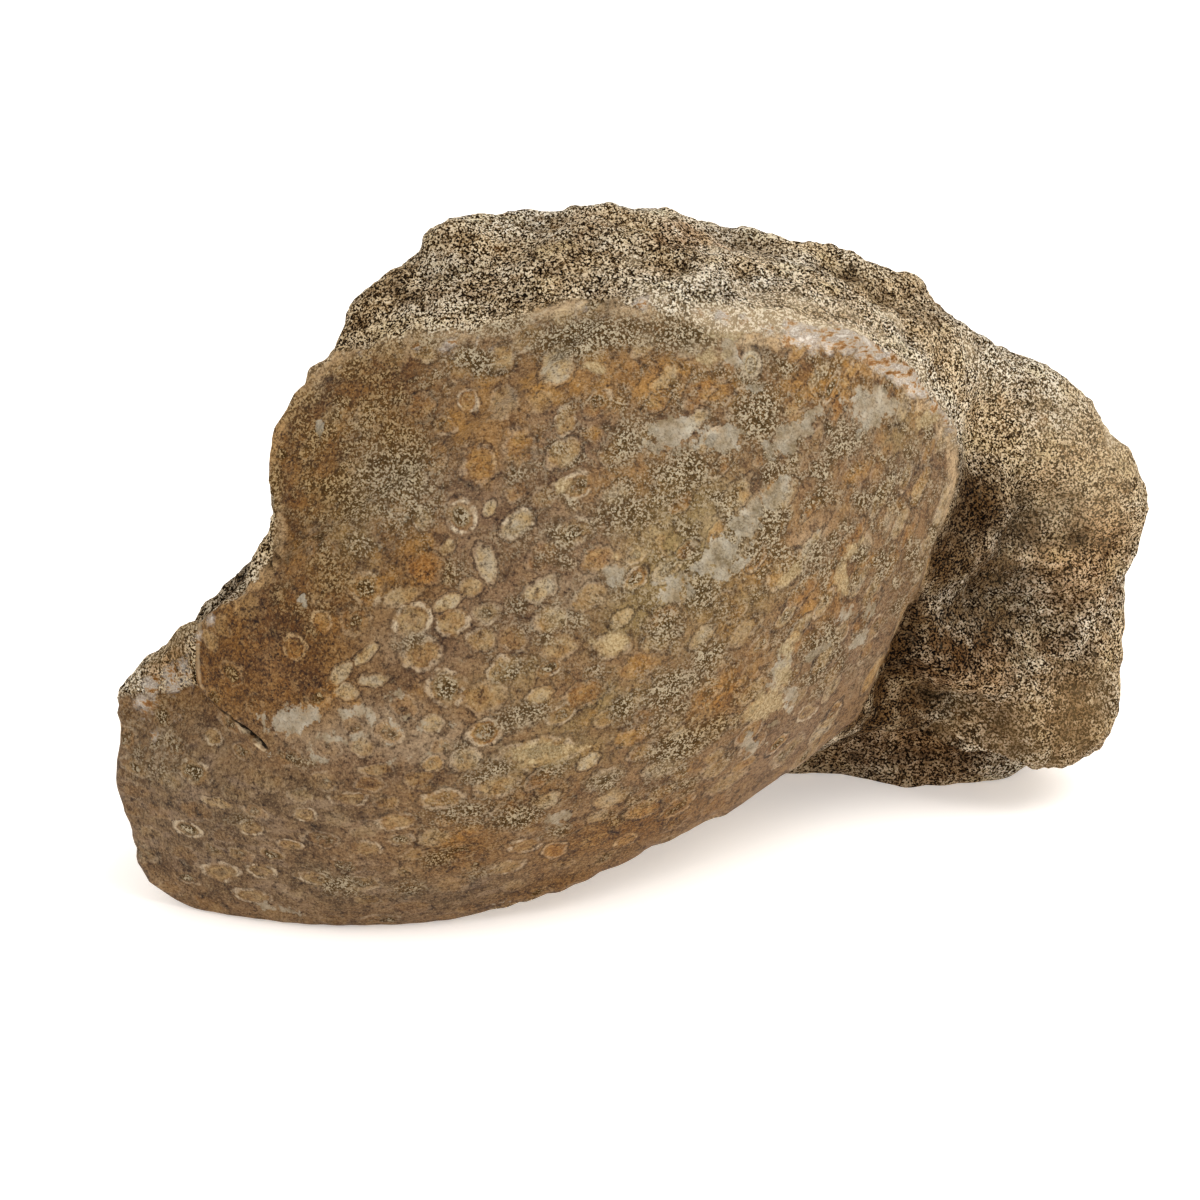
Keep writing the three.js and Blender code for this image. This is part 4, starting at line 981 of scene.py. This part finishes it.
surface = add(
    "BsdfPrincipled",
    {
        "Base Color": paints["stone"], "Roughness": roughness, "Normal": bump.outputs[0],
        "IOR": LIMESTONE_IOR, "Specular IOR Level": shine,
    },
)
add("OutputMaterial", {"Surface": surface.outputs[0]})
skin_mesh.materials.append(limestone)

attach(stone, "root")
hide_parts("fossil_coral_stone")

# ---------------------------------------------------------------------------
# The floor
# A plain white sweep of matt paper for the stone to stand on. It is faintly
# bright itself, so that it shows only a soft shadow.
# ---------------------------------------------------------------------------
FLOOR_HALF = 3.0
PAPER_ROUGHNESS = 0.9
PAPER_GLOW = 0.4
floor_mesh = bpy.data.meshes.new("floor")
sweep = bmesh.new()
bmesh.ops.create_grid(sweep, x_segments=1, y_segments=1, size=FLOOR_HALF)
sweep.to_mesh(floor_mesh)
sweep.free()
floor = bpy.data.objects.new("floor", floor_mesh)
bpy.context.scene.collection.objects.link(floor)
paper = bpy.data.materials.new("matt_white_paper")
paper.use_nodes = True
sheet = paper.node_tree.nodes["Principled BSDF"]
sheet.inputs["Base Color"].default_value = linear("f8f2eb")
sheet.inputs["Roughness"].default_value = PAPER_ROUGHNESS
sheet.inputs["Specular IOR Level"].default_value = 0.0
sheet.inputs["Emission Color"].default_value = linear("fffaf6")
sheet.inputs["Emission Strength"].default_value = PAPER_GLOW
floor_mesh.materials.append(paper)

# ---------------------------------------------------------------------------
# Light and camera
# A light tent: white all round, one wide soft box overhead, to the right and a
# little in front, and a long lens that looks down on the front at a low angle.
# ---------------------------------------------------------------------------
TENT_LIGHT = 0.95
tent = bpy.data.worlds.new("light_tent")
tent.use_nodes = True
cloth = tent.node_tree.nodes["Background"]
cloth.inputs["Color"].default_value = (1.0, 1.0, 1.0, 1.0)
cloth.inputs["Strength"].default_value = TENT_LIGHT
bpy.context.scene.world = tent

BOX_PLACE = Vector((0.35, -0.15, 0.7))
BOX_AIM = Vector((0, 0, 0.03))
BOX_SIZE = 0.7
BOX_WATTS = 5.0
lamp = bpy.data.lights.new("overhead_box", "AREA")
lamp.size = BOX_SIZE
lamp.energy = BOX_WATTS
box = bpy.data.objects.new("overhead_box", lamp)
box.location = BOX_PLACE
box.rotation_euler = (BOX_AIM - BOX_PLACE).to_track_quat("-Z", "Y").to_euler()
bpy.context.scene.collection.objects.link(box)

# The place the lens points at, a little low and left of the stone's middle.
AIM = Vector((-0.00726, -0.00152, 0.03393))
LENS_MM = 100
SENSOR_MM = 36
CAMERA_AWAY = 0.466667
CAMERA_TILT = math.radians(20)
lens = bpy.data.cameras.new("camera")
lens.lens = LENS_MM
lens.sensor_width = SENSOR_MM
camera = bpy.data.objects.new("camera", lens)
camera.location = AIM + CAMERA_AWAY * Vector((0, -math.cos(CAMERA_TILT), math.sin(CAMERA_TILT)))
camera.rotation_euler = (math.radians(90) - CAMERA_TILT, 0, 0)
bpy.context.scene.collection.objects.link(camera)
bpy.context.scene.camera = camera
bpy.context.scene.view_settings.view_transform = "Standard"
